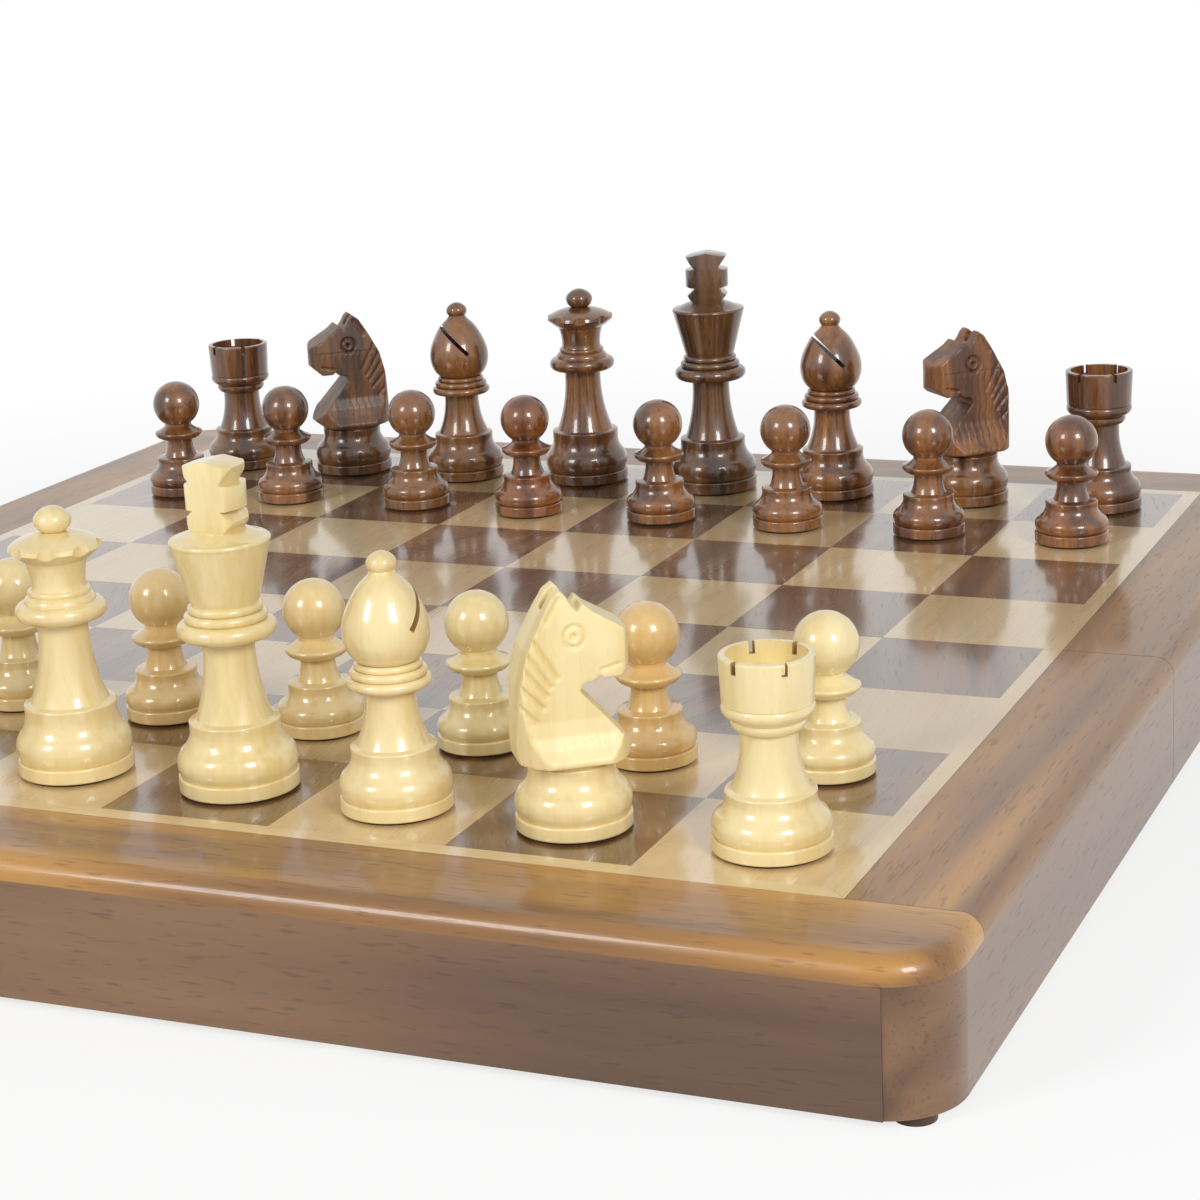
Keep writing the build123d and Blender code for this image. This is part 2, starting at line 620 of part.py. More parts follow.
def men():
    """Every man as node name and solids, standing on its square."""
    made = {kind: with_magnet(build(), base) for kind, (build, base) in KINDS.items()}
    rows = (("white", "1", BACK_ROW), ("white", "2", ("pawn",) * 8), ("black", "7", ("pawn",) * 8),
            ("black", "8", BACK_ROW))
    for colour, rank, kinds in rows:
        for letter, kind in zip(FILES, kinds):
            square = letter + rank
            dx, dy, turn = STANDING.get(square, (0, 0, 0))
            x, y = square_middle(square)
            place = Pos(x + dx, y + dy, Z_TOP) * Rot(0, 0, turn)
            yield f"{colour}_{kind}_{square}", group([place * solid for solid in made[kind]])


def half_nodes():
    """Nodes that each half has, modelled as the front half."""
    return {
        "cap_rails": cap_rails(),
        "side_walls": side_walls(),
        "end_wall": end_wall(),
        "seam_wall": seam_wall(),
        "deck": deck(),
        "steel_sheet": steel_sheet(),
        "dark_squares": squares(0),
        "light_squares": squares(1),
        "stringing": stringing(),
        "felt_lining": felt_lining(),
        "felt_feet": felt_feet(),
        "catch_magnets": catch_magnets(),
        "hinge_screws": slotted_screws(),
    }


def write(name, shape):
    """Write one node."""
    export_step(shape, f"parts/{name}.step")


def main():
    """Write both halves, the hinges and the men."""
    os.makedirs("parts", exist_ok=True)
    turned = Rot(0, 0, 180)
    for name, shape in half_nodes().items():
        write(f"front_{name}", shape)
        write(f"back_{name}", turned * shape)
    fixed, turning = hinge_leaf(0, PIN_R), hinge_leaf(1, PIN_R + PIN_CLEARANCE)
    write("front_hinge_leaves", group([*both(fixed), *hinge_pins()]))
    write("back_hinge_leaves", turned * group(both(turning)))
    for name, shape in men():
        write(name, shape)


main()
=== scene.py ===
"""Looks of a folding magnetic chess set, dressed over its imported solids.

Places are in metres in the row's frame: +Z up, +X from the a file to the h file, +Y from the
first rank to the eighth. Turned and carved shapes are drawn in millimetres and scaled once.
"""

from __future__ import annotations

import logging
import math
from dataclasses import dataclass, field, replace
from enum import Enum

import bmesh
import bpy
import numpy as np
from mathutils import Matrix, Vector


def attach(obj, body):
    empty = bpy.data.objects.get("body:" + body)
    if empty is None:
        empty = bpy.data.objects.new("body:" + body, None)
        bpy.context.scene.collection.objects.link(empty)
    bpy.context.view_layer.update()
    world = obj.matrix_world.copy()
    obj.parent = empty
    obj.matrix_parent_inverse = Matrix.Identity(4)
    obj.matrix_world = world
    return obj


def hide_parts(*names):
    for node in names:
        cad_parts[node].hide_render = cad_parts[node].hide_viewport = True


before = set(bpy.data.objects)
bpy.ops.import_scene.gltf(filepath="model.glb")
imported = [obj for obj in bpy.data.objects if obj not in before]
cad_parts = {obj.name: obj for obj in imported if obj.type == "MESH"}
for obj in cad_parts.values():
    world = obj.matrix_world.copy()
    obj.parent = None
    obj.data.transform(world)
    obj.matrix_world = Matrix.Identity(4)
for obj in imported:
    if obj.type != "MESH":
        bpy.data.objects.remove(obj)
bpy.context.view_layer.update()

log = logging.getLogger("chess_set")

MM = 0.001
Colour = tuple[float, float, float]
Spot = tuple[float, float, float]  # a place or a size in space
Point = tuple[float, float]  # a place or a size in a flat view


def srgb(*channels: int) -> Colour:
    """Linear colour of a screen colour given from 0 to 255."""
    return tuple(((c / 255 + 0.055) / 1.055) ** 2.4 if c > 10 else c / 3294 for c in channels)


# ---- Shader maths


class Socket:
    """A value inside a node tree, on which Python arithmetic adds Math nodes."""

    def __init__(self, graph: Nodes, output: bpy.types.NodeSocket) -> None:
        """Keep the graph and the node output that carries the value."""
        self.graph = graph
        self.output = output

    def _math(self, operation: str, *values: Socket | float) -> Socket:
        """A Math node on the given values."""
        return self.graph.node("ShaderNodeMath", {"operation": operation}, dict(enumerate(values)))

    def __add__(self, other: Socket | float) -> Socket:
        """Sum."""
        return self._math("ADD", self, other)

    def __radd__(self, other: Socket | float) -> Socket:
        """Sum with a number first."""
        return self._math("ADD", other, self)

    def __sub__(self, other: Socket | float) -> Socket:
        """Difference."""
        return self._math("SUBTRACT", self, other)

    def __rsub__(self, other: Socket | float) -> Socket:
        """Difference with a number first."""
        return self._math("SUBTRACT", other, self)

    def __mul__(self, other: Socket | float) -> Socket:
        """Product."""
        return self._math("MULTIPLY", self, other)

    def __rmul__(self, other: Socket | float) -> Socket:
        """Product with a number first."""
        return self._math("MULTIPLY", other, self)

    def __truediv__(self, other: Socket | float) -> Socket:
        """Quotient."""
        return self._math("DIVIDE", self, other)

    def __mod__(self, other: Socket | float) -> Socket:
        """Remainder of a division."""
        return self._math("MODULO", self, other)

    def __abs__(self) -> Socket:
        """Absolute value."""
        return self._math("ABSOLUTE", self)

    def __gt__(self, other: Socket | float) -> Socket:
        """1 where this is above the other value, else 0."""
        return self._math("GREATER_THAN", self, other)

    def sine(self) -> Socket:
        """Sine, from radians."""
        return self._math("SINE", self)

    def cosine(self) -> Socket:
        """Cosine, from radians."""
        return self._math("COSINE", self)

    def floor(self) -> Socket:
        """Whole number at or below this."""
        return self._math("FLOOR", self)

    def beside(self, output: int | str) -> Socket:
        """Another output of the same node."""
        return Socket(self.graph, self.output.node.outputs[output])

    def ramp(self, low: float, high: float, out_low: float = 0.0, out_high: float = 1.0) -> Socket:
        """Smooth step from one level to another.

        Args:
            low: value at which the step starts.
            high: value at which it ends.
            out_low: result up to low.
            out_high: result from high on.

        Returns:
            The stepped value.
        """
        return self.graph.node(
            "ShaderNodeMapRange", {"interpolation_type": "SMOOTHSTEP"},
            {0: self, 1: low, 2: high, 3: out_low, 4: out_high})


class Nodes:
    """A node tree that is filled from Python."""

    def __init__(self, tree: bpy.types.NodeTree) -> None:
        """Keep the tree and start it empty."""
        self.tree = tree
        tree.nodes.clear()

    def node(self, kind: str, settings: dict | None = None, inputs: dict | None = None,
             output: int | str = 0) -> Socket:
        """Add any node.

        Args:
            kind: the node's type.
            settings: its properties, set first. A list under "stops" fills its colour ramp.
            inputs: values or sockets by input name or number.
            output: the output that is handed back.

        Returns:
            That output as a Socket.
        """
        made = self.tree.nodes.new(kind)
        for key, value in (settings or {}).items():
            if key == "stops":
                self._fill(made.color_ramp, value)
            else:
                setattr(made, key, value)
        for key, value in (inputs or {}).items():
            if isinstance(value, Socket):
                self.tree.links.new(value.output, made.inputs[key])
            else:
                entry = made.inputs[key]
                short = entry.type == "RGBA" and len(value) == 3
                entry.default_value = (*value, 1.0) if short else value
        return Socket(self, made.outputs[output])

    @staticmethod
    def _fill(ramp: bpy.types.ColorRamp, stops: list[tuple[float, Colour]]) -> None:
        """Set a colour ramp's stops.

        Args:
            ramp: the ramp.
            stops: place and colour of each stop, in order.
        """
        while len(ramp.elements) < len(stops):
            ramp.elements.new(1.0)
        for element, (place, colour) in zip(ramp.elements, stops):
            element.position = place
            element.color = (*colour, 1.0)

    def send(self, kind: str, value: Socket) -> None:
        """Close the tree: send a value to its output node."""
        self.tree.links.new(value.output, self.tree.nodes.new(kind).inputs[0])

    def seen(self) -> Socket:
        """1 for the camera's own rays and for reflected ones, else 0."""
        camera = self.node("ShaderNodeLightPath", output="Is Camera Ray")
        return self.node("ShaderNodeMath", {"operation": "MAXIMUM"},
                         {0: camera, 1: camera.beside("Is Glossy Ray")})


class Graph(Nodes):
    """The node tree of one material."""

    def __init__(self, name: str) -> None:
        """Make an empty material."""
        self.material = bpy.data.materials.new(name)
        self.material.use_nodes = True
        super().__init__(self.material.node_tree)

    def place(self) -> Socket:
        """Position on the object, in metres."""
        return self.node("ShaderNodeTexCoord", output="Object")

    def vector(self, operation: str, first: Socket, second: Socket | Spot) -> Socket:
        """A Vector Math node on two vectors."""
        return self.node("ShaderNodeVectorMath", {"operation": operation}, {0: first, 1: second})

    def axes(self, vector: Socket) -> tuple[Socket, Socket, Socket]:
        """X, Y and Z of a vector."""
        split = self.node("ShaderNodeSeparateXYZ", inputs={0: vector})
        return split, split.beside("Y"), split.beside("Z")

    def join(self, x: Socket | float, y: Socket | float, z: Socket | float) -> Socket:
        """Vector from three values."""
        return self.node("ShaderNodeCombineXYZ", inputs={0: x, 1: y, 2: z})

    def lengthwise(self, crosswise: Socket) -> Socket:
        """Position with a strip's length on X.

        Args:
            crosswise: 1 on the strips that lie along X, 0 on those that lie along Y.

        Returns:
            The position, with X and Y exchanged where the strip lies along Y.
        """
        place = self.place()
        x, y, z = self.axes(place)
        return self.node("ShaderNodeMix", {"data_type": "VECTOR"},
                         {0: crosswise, 4: self.join(y, x, z), 5: place}, output=1)

    def noise(self, vector: Socket, size: float, detail: float, warp: float = 0.0) -> Socket:
        """Noise whose blots are about size metres across."""
        return self.node("ShaderNodeTexNoise", inputs={
            "Vector": vector, "Scale": 1 / size, "Detail": detail, "Distortion": warp})

    def mix(self, share: Socket | float, first: Socket | Colour, second: Socket | Colour,
            blend: str = "MIX") -> Socket:
        """Blend of two colours."""
        return self.node("ShaderNodeMix", {"data_type": "RGBA", "blend_type": blend},
                         {0: share, 6: first, 7: second}, output=2)

    def colours(self, value: Socket, stops: list[tuple[float, Colour]]) -> Socket:
        """Colour read from a ramp."""
        return self.node("ShaderNodeValToRGB", {"stops": stops}, {0: value})

    def bump(self, height: Socket, distance: float, strength: float) -> Socket:
        """Normal from a height field, distance metres deep."""
        return self.node("ShaderNodeBump", inputs={
            "Height": height, "Distance": distance, "Strength": strength}, output="Normal")

    def surface(self, **inputs: Socket | float | Colour) -> bpy.types.Material:
        """Finish with a Principled shader. Names are its inputs with _ for a space."""
        values = {key.replace("_", " "): value for key, value in inputs.items()}
        self.send("ShaderNodeOutputMaterial", self.node("ShaderNodeBsdfPrincipled", inputs=values))
        return self.material


# ---- Finishes


class Fibre(Enum):
    """The axis that a wood's fibres or a metal's brushing run along."""

    X = (1, 0, 0)
    Y = (0, 1, 0)
    Z = (0, 0, 1)

    def drawn_out(self, share: float) -> Spot:
        """Scale of a pattern, the share along this axis and 1 across it."""
        return tuple(share if a else 1.0 for a in self.value)


@dataclass(frozen=True)
class Timber:
    """A lacquered wood: its colours, and how coarse its figure and pores are."""

    name: str
    pale: Colour
    middle: Colour
    deep: Colour
    pore: Colour
    figure: float = 0.02  # size of the broad figure across the fibres
    bands: float = 30.0  # how many rings a blot of figure breaks into
    band_share: float = 0.45
    pore_size: float = 0.0011
    pore_share: float = 0.5
    stretch: float = 0.06  # scale of the pattern along the fibres: the less, the longer its marks
    roughness: float = 0.32
    coat: float = 0.6
    coat_roughness: float = 0.08
    relief: float = 0.00004

    STREAK_SIZE = 0.12  # of the figure's size
    TONES = (0.18, 0.45, 0.8)  # where the deep, middle and pale colours stand on the ramp
    PORE_STRETCH = 1.6  # the pores' scale along the fibres, against the streaks'
    PORE_EDGE = (0.6, 0.72)  # noise between which a pore opens
    WAVE_SIZE = 0.006  # of the lacquer's slow waves

    def grain(self, graph: Graph, place: Socket, fibre: Fibre) -> tuple[Socket, Socket, Socket]:
        """Colour, pores and streaks of this wood.

        Args:
            graph: the material's nodes.
            place: position that the figure is read from.
            fibre: axis of the fibres.

        Returns:
            Colour, pore mask and streak value.
        """
        run = graph.vector("MULTIPLY", place, fibre.drawn_out(self.stretch))
        broad = graph.noise(run, self.figure, 2.0, 0.6)
        rings = (broad * self.bands).sine() * 0.5 + 0.5
        streak = graph.noise(run, self.figure * self.STREAK_SIZE, 4.0)
        tone = rings * self.band_share + streak * (1 - self.band_share) * 0.7 + broad * 0.35 - 0.1
        colour = graph.colours(tone, list(zip(self.TONES, (self.deep, self.middle, self.pale))))
        short = graph.vector("MULTIPLY", place, fibre.drawn_out(self.stretch * self.PORE_STRETCH))
        pores = graph.noise(short, self.pore_size, 1.0).ramp(*self.PORE_EDGE)
        return graph.mix(pores * self.pore_share, colour, self.pore), pores, streak

    def coated(self, graph: Graph, colour: Socket, pores: Socket,
               streak: Socket) -> bpy.types.Material:
        """Lacquer over a grained colour.

        Args:
            graph: the material's nodes.
            colour: the wood's colour.
            pores: mask of its pores.
            streak: its fine streaks.

        Returns:
            The finished material.
        """
        waves = graph.noise(graph.place(), self.WAVE_SIZE, 1.0)
        height = 0.6 * streak - 0.9 * pores + 0.5 * waves
        return graph.surface(
            Base_Color=colour, Coat_Weight=self.coat, Coat_Roughness=self.coat_roughness,
            Roughness=streak * 0.1 + pores * 0.08 + (self.roughness - 0.05),
            Normal=graph.bump(height, self.relief, 0.55), Specular_IOR_Level=0.5)


SHEESHAM = Timber(
    "sheesham", srgb(208, 156, 78), srgb(174, 124, 60), srgb(120, 82, 46), srgb(70, 44, 25),
    figure=0.03, bands=26, pore_size=0.0006, pore_share=0.35, stretch=0.07, roughness=0.36,
    coat=0.4)
WALL_WOOD = replace(
    SHEESHAM, name="wall_wood", pale=srgb(134, 98, 66), middle=srgb(110, 78, 52),
    deep=srgb(88, 61, 41), pore=srgb(50, 33, 22), bands=14, coat=0.5, roughness=0.38)
DARK_VENEER = Timber(
    "dark_veneer", srgb(142, 104, 68), srgb(114, 81, 52), srgb(84, 57, 36), srgb(54, 35, 23),
    figure=0.016, bands=18, pore_size=0.0007, pore_share=0.45, roughness=0.28, coat=1.0,
    coat_roughness=0.1)
PALE_VENEER = Timber(
    "pale_veneer", srgb(228, 202, 156), srgb(221, 193, 144), srgb(211, 180, 130),
    srgb(188, 154, 106), bands=12, band_share=0.25, pore_size=0.0006, pore_share=0.1,
    roughness=0.28, coat=1.0, coat_roughness=0.1)
BOXWOOD = Timber(
    "boxwood", srgb(243, 227, 174), srgb(236, 216, 158), srgb(224, 200, 138), srgb(202, 172, 112),
    figure=0.012, bands=12, band_share=0.3, pore_size=0.0005, pore_share=0.1, stretch=0.1,
    roughness=0.3, coat=0.8, coat_roughness=0.06, relief=0.00002)
ROSEWOOD = Timber(
    "rosewood", srgb(154, 104, 54), srgb(114, 71, 35), srgb(68, 40, 21), srgb(38, 21, 11),
    figure=0.007, bands=13, band_share=0.35, pore_size=0.00045, pore_share=0.5, stretch=0.08,
    roughness=0.3, coat=0.8, coat_roughness=0.07, relief=0.00003)
PLY = Timber(
    "deck_ply", srgb(206, 176, 128), srgb(186, 152, 104), srgb(156, 122, 80), srgb(120, 90, 58),
    roughness=0.6, coat=0.0)


@dataclass(frozen=True)
class Cloth:
    """Pressed wool felt."""

    name: str
    colour: Colour
    shade: Colour
    fibre: float = 0.0004
    blot: float = 0.012  # size of the worn patches
    nap: float = 0.00025  # how far the hairs stand up

    def material(self) -> bpy.types.Material:
        """Matted fibres with a soft nap."""
        graph = Graph(self.name)
        place = graph.place()
        mat = graph.noise(place, self.fibre * 4, 4.0, 1.2)
        hair = graph.noise(place, self.fibre, 2.0, 2.0)
        blots = graph.noise(place, self.blot, 2.0)
        tone = mat * 0.5 + hair * 0.3 + blots * 0.3
        colour = graph.colours(tone, [(0.3, self.shade), (0.75, self.colour)])
        return graph.surface(
            Base_Color=colour, Roughness=hair * 0.1 + 0.88, Sheen_Weight=0.5, Sheen_Roughness=0.4,
            Normal=graph.bump(hair + mat, self.nap, 0.7))


@dataclass(frozen=True)
class Metal:
    """A bare or plated metal with fine brushing and dull spots."""

    name: str
    bright: Colour
    dull: Colour
    roughness: float = 0.3
    brush: Fibre = Fibre.X
    line: float = 0.0003  # width of a brush mark
    stretch: float = 0.04  # scale of the pattern along the brushing
    patch: float = 0.004  # size of the dull spots
    relief: float = 0.00001

    def material(self) -> bpy.types.Material:
        """Brushed metal, duller in soft patches."""
        graph = Graph(self.name)
        place = graph.place()
        long = graph.vector("MULTIPLY", place, self.brush.drawn_out(self.stretch))
        lines = graph.noise(long, self.line, 3.0)
        patches = graph.noise(place, self.patch, 4.0).ramp(0.45, 0.7)
        return graph.surface(
            Base_Color=graph.mix(patches, self.bright, self.dull), Metallic=1.0,
            Roughness=lines * 0.12 + patches * 0.15 + (self.roughness - 0.06),
            Normal=graph.bump(lines, self.relief, 0.5))


TRAY_FELT = Cloth("tray_felt", srgb(34, 92, 58), srgb(16, 52, 34))
FOOT_FELT = Cloth("foot_felt", srgb(92, 70, 50), srgb(58, 42, 30))
# The felt discs under the men are real, but their dark brown colour is painted contact shadow where
# each base meets its square.
BASE_FELT_AS_SHADOW = Cloth("base_felt_painted_shadow", srgb(60, 50, 40), srgb(34, 28, 22))
BRASS = Metal("brass", srgb(222, 186, 110), srgb(176, 136, 70), 0.26)
NICKEL = Metal("nickel", srgb(214, 214, 212), srgb(168, 168, 168), 0.22, Fibre.Z)
STEEL = Metal("sheet_steel", srgb(176, 178, 180), srgb(138, 140, 144), 0.38, Fibre.Y)


# ---- Geometry


def new_object(name: str, data: bpy.types.ID) -> bpy.types.Object:
    """An object of a mesh, camera or lamp, linked to the scene.

    Args:
        name: its name.
        data: what it shows.

    Returns:
        The object.
    """
    made = bpy.data.objects.new(name, data)
    bpy.context.scene.collection.objects.link(made)
    return made


def from_bmesh(name: str, shape: bmesh.types.BMesh) -> bpy.types.Mesh:
    """Mesh of a closed bmesh, its faces turned outwards.

    Args:
        name: the mesh's name.
        shape: the bmesh, which is freed.

    Returns:
        The mesh.
    """
    bmesh.ops.recalc_face_normals(shape, faces=shape.faces)
    mesh = bpy.data.meshes.new(name)
    shape.to_mesh(mesh)
    shape.free()
    return mesh


def prism(outline: list[Point], depth: float, axis: Fibre = Fibre.Y) -> bpy.types.Mesh:
    """Closed prism of a flat outline.

    Args:
        outline: corners, as (x, z) for a prism along Y and (y, z) for one along X.
        depth: half of its length.
        axis: direction that it runs along.

    Returns:
        The prism's mesh.
    """
    shape = bmesh.new()
    ends = []
    for side in (-depth, depth):
        spots = [(u, side, v) if axis is Fibre.Y else (side, u, v) for u, v in outline]
        ends.append([shape.verts.new(p) for p in spots])
        shape.faces.new(ends[-1])
    for i in range(len(outline)):
        j = (i + 1) % len(outline)
        shape.faces.new((ends[0][i], ends[0][j], ends[1][j], ends[1][i]))
    return from_bmesh("prism", shape)


def turned(middle: Spot, degrees: float, axis: str) -> Matrix:
    """Place of something that is turned about an axis and then moved."""
    return Matrix.Translation(middle) @ Matrix.Rotation(math.radians(degrees), 4, axis)


def block(half: Spot, place: Matrix) -> bpy.types.Mesh:
    """Closed box about the origin, then moved.

    Args:
        half: half its size along each axis.
        place: matrix that moves it.

    Returns:
        The box's mesh.
    """
    shape = bmesh.new()
    bmesh.ops.create_cube(shape, size=2.0)
    shape.transform(place @ Matrix.Diagonal((*half, 1.0)))
    return from_bmesh("block", shape)


def drum(radius: float, low: float, high: float, place: Matrix | None = None,
         sides: int = 96) -> bpy.types.Mesh:
    """Closed cylinder along Z, then moved.

    Args:
        radius: its radius.
        low: height of its foot.
        high: height of its top.
        place: matrix that moves it, if any.
        sides: facets round it.

    Returns:
        The drum's mesh.
    """
    shape = bmesh.new()
    bmesh.ops.create_cone(shape, cap_ends=True, segments=sides, radius1=radius, radius2=radius,
                          depth=high - low)
    shape.transform((place or Matrix()) @ Matrix.Translation((0, 0, (low + high) / 2)))
    return from_bmesh("drum", shape)


def evaluated(obj: bpy.types.Object) -> bpy.types.Mesh:
    """Plain mesh of an object with its modifiers applied.

    Args:
        obj: the object, which is removed.

    Returns:
        The mesh.
    """
    bpy.context.view_layer.update()
    graph = bpy.context.evaluated_depsgraph_get()
    mesh = bpy.data.meshes.new_from_object(obj.evaluated_get(graph))
    bpy.data.objects.remove(obj)
    return mesh


def carved(mesh: bpy.types.Mesh, cuts: list[bpy.types.Mesh], operation: str = "DIFFERENCE",
           sawn: bool = False) -> bpy.types.Mesh:
    """Mesh after exact cuts.

    Args:
        mesh: closed mesh that is cut.
        cuts: closed meshes, used one after the other.
        operation: "DIFFERENCE" or "INTERSECT".
        sawn: whether the cut faces go to the mesh's second material.

    Returns:
        The mesh that remains.
    """
    if sawn:
        for each in (mesh, *cuts):
            for _ in range(2):
                each.materials.append(None)
        for cut in cuts:
            for polygon in cut.polygons:
                polygon.material_index = 1
    body = new_object("blank", mesh)
    tools = []
    for cut in cuts:
        tool = new_object("tool", cut)
        tools.append(tool)
        modifier = body.modifiers.new("cut", "BOOLEAN")
        modifier.operation, modifier.solver, modifier.object = operation, "EXACT", tool
    result = evaluated(body)
    for tool in tools:
        bpy.data.objects.remove(tool)
    return result


def bevelled(mesh: bpy.types.Mesh, width: float, angle: float) -> bpy.types.Mesh:
    """Mesh with its edges softened.

    Args:
        mesh: the mesh with sharp edges.
        width: how far the softening reaches from an edge.
        angle: least bend of an edge that is softened, in degrees.

    Returns:
        The softened mesh.
    """
    body = new_object("blank", mesh)
    modifier = body.modifiers.new("edge", "BEVEL")
    modifier.width, modifier.segments, modifier.angle_limit = width, 2, math.radians(angle)
    modifier.use_clamp_overlap = True
    return evaluated(body)


def joined(*meshes: bpy.types.Mesh) -> bpy.types.Mesh:
    """One mesh from several.

    Args:
        meshes: the meshes, in order.

    Returns:
        Their faces in one mesh.
    """
    shape = bmesh.new()
    for mesh in meshes:
        shape.from_mesh(mesh)
    made = bpy.data.meshes.new("joined")
    shape.to_mesh(made)
    shape.free()
    return made


class Lathe(Nodes):
    """Geometry Nodes tree that turns an outline about Z."""

    WELD = 0.0005  # points closer than this become one, in millimetres

    def __init__(self) -> None:
        """Build the tree with its named inputs."""
        super().__init__(bpy.data.node_groups.new("lathe", "GeometryNodeTree"))
        face = self.tree.interface
        _, self.sides, self.finish = (
            face.new_socket(name, in_out="INPUT", socket_type=f"NodeSocket{kind}").identifier
            for name, kind in (("Outline", "Geometry"), ("Sides", "Int"), ("Finish", "Material")))
        face.new_socket("Piece", in_out="OUTPUT", socket_type="NodeSocketGeometry")
        outline = self.node("NodeGroupInput", output="Outline")
        sides = outline.beside("Sides")
        rows = self.node("GeometryNodeAttributeDomainSize", inputs={"Geometry": outline},
                         output="Point Count")
        grid = self.node("GeometryNodeMeshGrid",
                         inputs={"Vertices X": sides + 1.0, "Vertices Y": rows})
        index = self.node("GeometryNodeInputIndex")
        column = ((index + 0.5) / rows).floor()
        spot = self.node("GeometryNodeInputPosition")
        read = self.node("GeometryNodeSampleIndex", {"data_type": "FLOAT_VECTOR"},
                         {"Geometry": outline, "Value": spot, "Index": index % rows}, "Value")
        radius = self.node("ShaderNodeSeparateXYZ", inputs={0: read})
        angle = column * (2 * math.pi) / sides
        place = self.node("ShaderNodeCombineXYZ", inputs={
            "X": radius * angle.cosine(), "Y": radius * angle.sine(), "Z": radius.beside("Z")})
        moved = self.node("GeometryNodeSetPosition", inputs={"Geometry": grid, "Position": place})
        merged = self.node("GeometryNodeMergeByDistance",
                           inputs={"Geometry": moved, "Distance": self.WELD})
        real = self.node("GeometryNodeRealizeInstances", inputs={"Geometry": merged})
        finish = outline.beside("Finish")
        self.send("NodeGroupOutput", self.node(
            "GeometryNodeSetMaterial", inputs={"Geometry": real, "Material": finish}))

    def turn(self, outline: list[Point], sides: int) -> bpy.types.Mesh:
        """Turn an outline.

        Args:
            outline: radius and height of each point, from the axis back to the axis.
            sides: facets round the axis.

        Returns:
            The closed turned mesh.
        """
        line = bpy.data.meshes.new("outline")
        edges = [(i, i + 1) for i in range(len(outline) - 1)]
        line.from_pydata([(r, 0.0, z) for r, z in outline], edges, [])
        blank = new_object("outline", line)
        modifier = blank.modifiers.new("lathe", "NODES")
        modifier.node_group = self.tree
        modifier[self.sides] = sides
        modifier[self.finish] = None
        shape = bmesh.new()
        shape.from_mesh(evaluated(blank))
        bmesh.ops.remove_doubles(shape, verts=shape.verts, dist=self.WELD)
        return from_bmesh("turned", shape)


class Outline:
    """Outline of a turned piece as points, drawn upwards from its base, in millimetres."""

    STEP = 0.35  # spacing of points on curves
    BEND = 0.22  # greatest bend between two points of an arc, in radians

    def __init__(self, radius: float, height: float) -> None:
        """Start on the axis and go out to the first point."""
        self.points: list[Point] = [(0.0, height), (radius, height)]

    def line(self, radius: float, height: float) -> Outline:
        """Straight to a point."""
        self.points.append((radius, height))
        return self

    def arc(self, via: Point, radius: float, height: float) -> Outline:
        """Arc through one point to another.

        Args:
            via: a point on the way.
            radius: radius of the last point.
            height: height of the last point.

        Returns:
            The outline itself.
        """
        (ax, ay), (bx, by), (cx, cy) = self.points[-1], via, (radius, height)
        turn = 2 * (ax * (by - cy) + bx * (cy - ay) + cx * (ay - by))
        sa, sb, sc = ax * ax + ay * ay, bx * bx + by * by, cx * cx + cy * cy
        ox = (sa * (by - cy) + sb * (cy - ay) + sc * (ay - by)) / turn
        oy = (sa * (cx - bx) + sb * (ax - cx) + sc * (bx - ax)) / turn
        size = math.hypot(ax - ox, ay - oy)
        first, last = math.atan2(ay - oy, ax - ox), math.atan2(cy - oy, cx - ox)
        sweep = (last - first) % (2 * math.pi)
        middle = (math.atan2(by - oy, bx - ox) - first) % (2 * math.pi)
        if middle > sweep:
            sweep -= 2 * math.pi
        steps = max(
            3, math.ceil(abs(sweep) * size / self.STEP), math.ceil(abs(sweep) / self.BEND))
        for i in range(1, steps):
            angle = first + sweep * i / steps
            self.points.append((ox + size * math.cos(angle), oy + size * math.sin(angle)))
        return self.line(radius, height)

    def curve(self, *through: Point, leave: Point, arrive: Point) -> Outline:
        """Smooth curve through points.

        Args:
            through: points that it passes.
            leave: direction in which it starts.
            arrive: direction in which it ends.

        Returns:
            The outline itself.
        """
        knots = np.array([self.points[-1], *through])
        spans = np.linalg.norm(np.diff(knots, axis=0), axis=1)
        count = len(knots)
        lines, sides = np.eye(count), np.zeros((count, 2))
        sides[0] = np.array(leave) / np.hypot(*leave)
        sides[-1] = np.array(arrive) / np.hypot(*arrive)
        for i in range(1, count - 1):
            before, after = spans[i - 1], spans[i]
            lines[i, i - 1:i + 2] = after, 2 * (before + after), before
            sides[i] = 3 * (after * (knots[i] - knots[i - 1]) / before
                            + before * (knots[i + 1] - knots[i]) / after)
        slopes = np.linalg.solve(lines, sides)
        for i, span in enumerate(spans):
            steps = max(2, math.ceil(span / self.STEP))
            for t in np.arange(1, steps + 1) / steps:
                point = ((2 * t**3 - 3 * t**2 + 1) * knots[i]
                         + (t**3 - 2 * t**2 + t) * span * slopes[i]
                         + (3 * t**2 - 2 * t**3) * knots[i + 1]
                         + (t**3 - t**2) * span * slopes[i + 1])
                self.points.append((max(0.0, float(point[0])), float(point[1])))
        return self

    def bead(self, swell: float, radius: float, rise: float) -> Outline:
        """Half-round ring out to a radius, ending at another, further up."""
        height = self.points[-1][1]
        return self.arc((swell, height + rise / 2), radius, height + rise)

    def closed(self) -> list[Point]:
        """The points, ending on the axis."""
        if self.points[-1][0] > 1e-6:
            self.line(0.0, self.points[-1][1])
        return self.points


# ---- Men


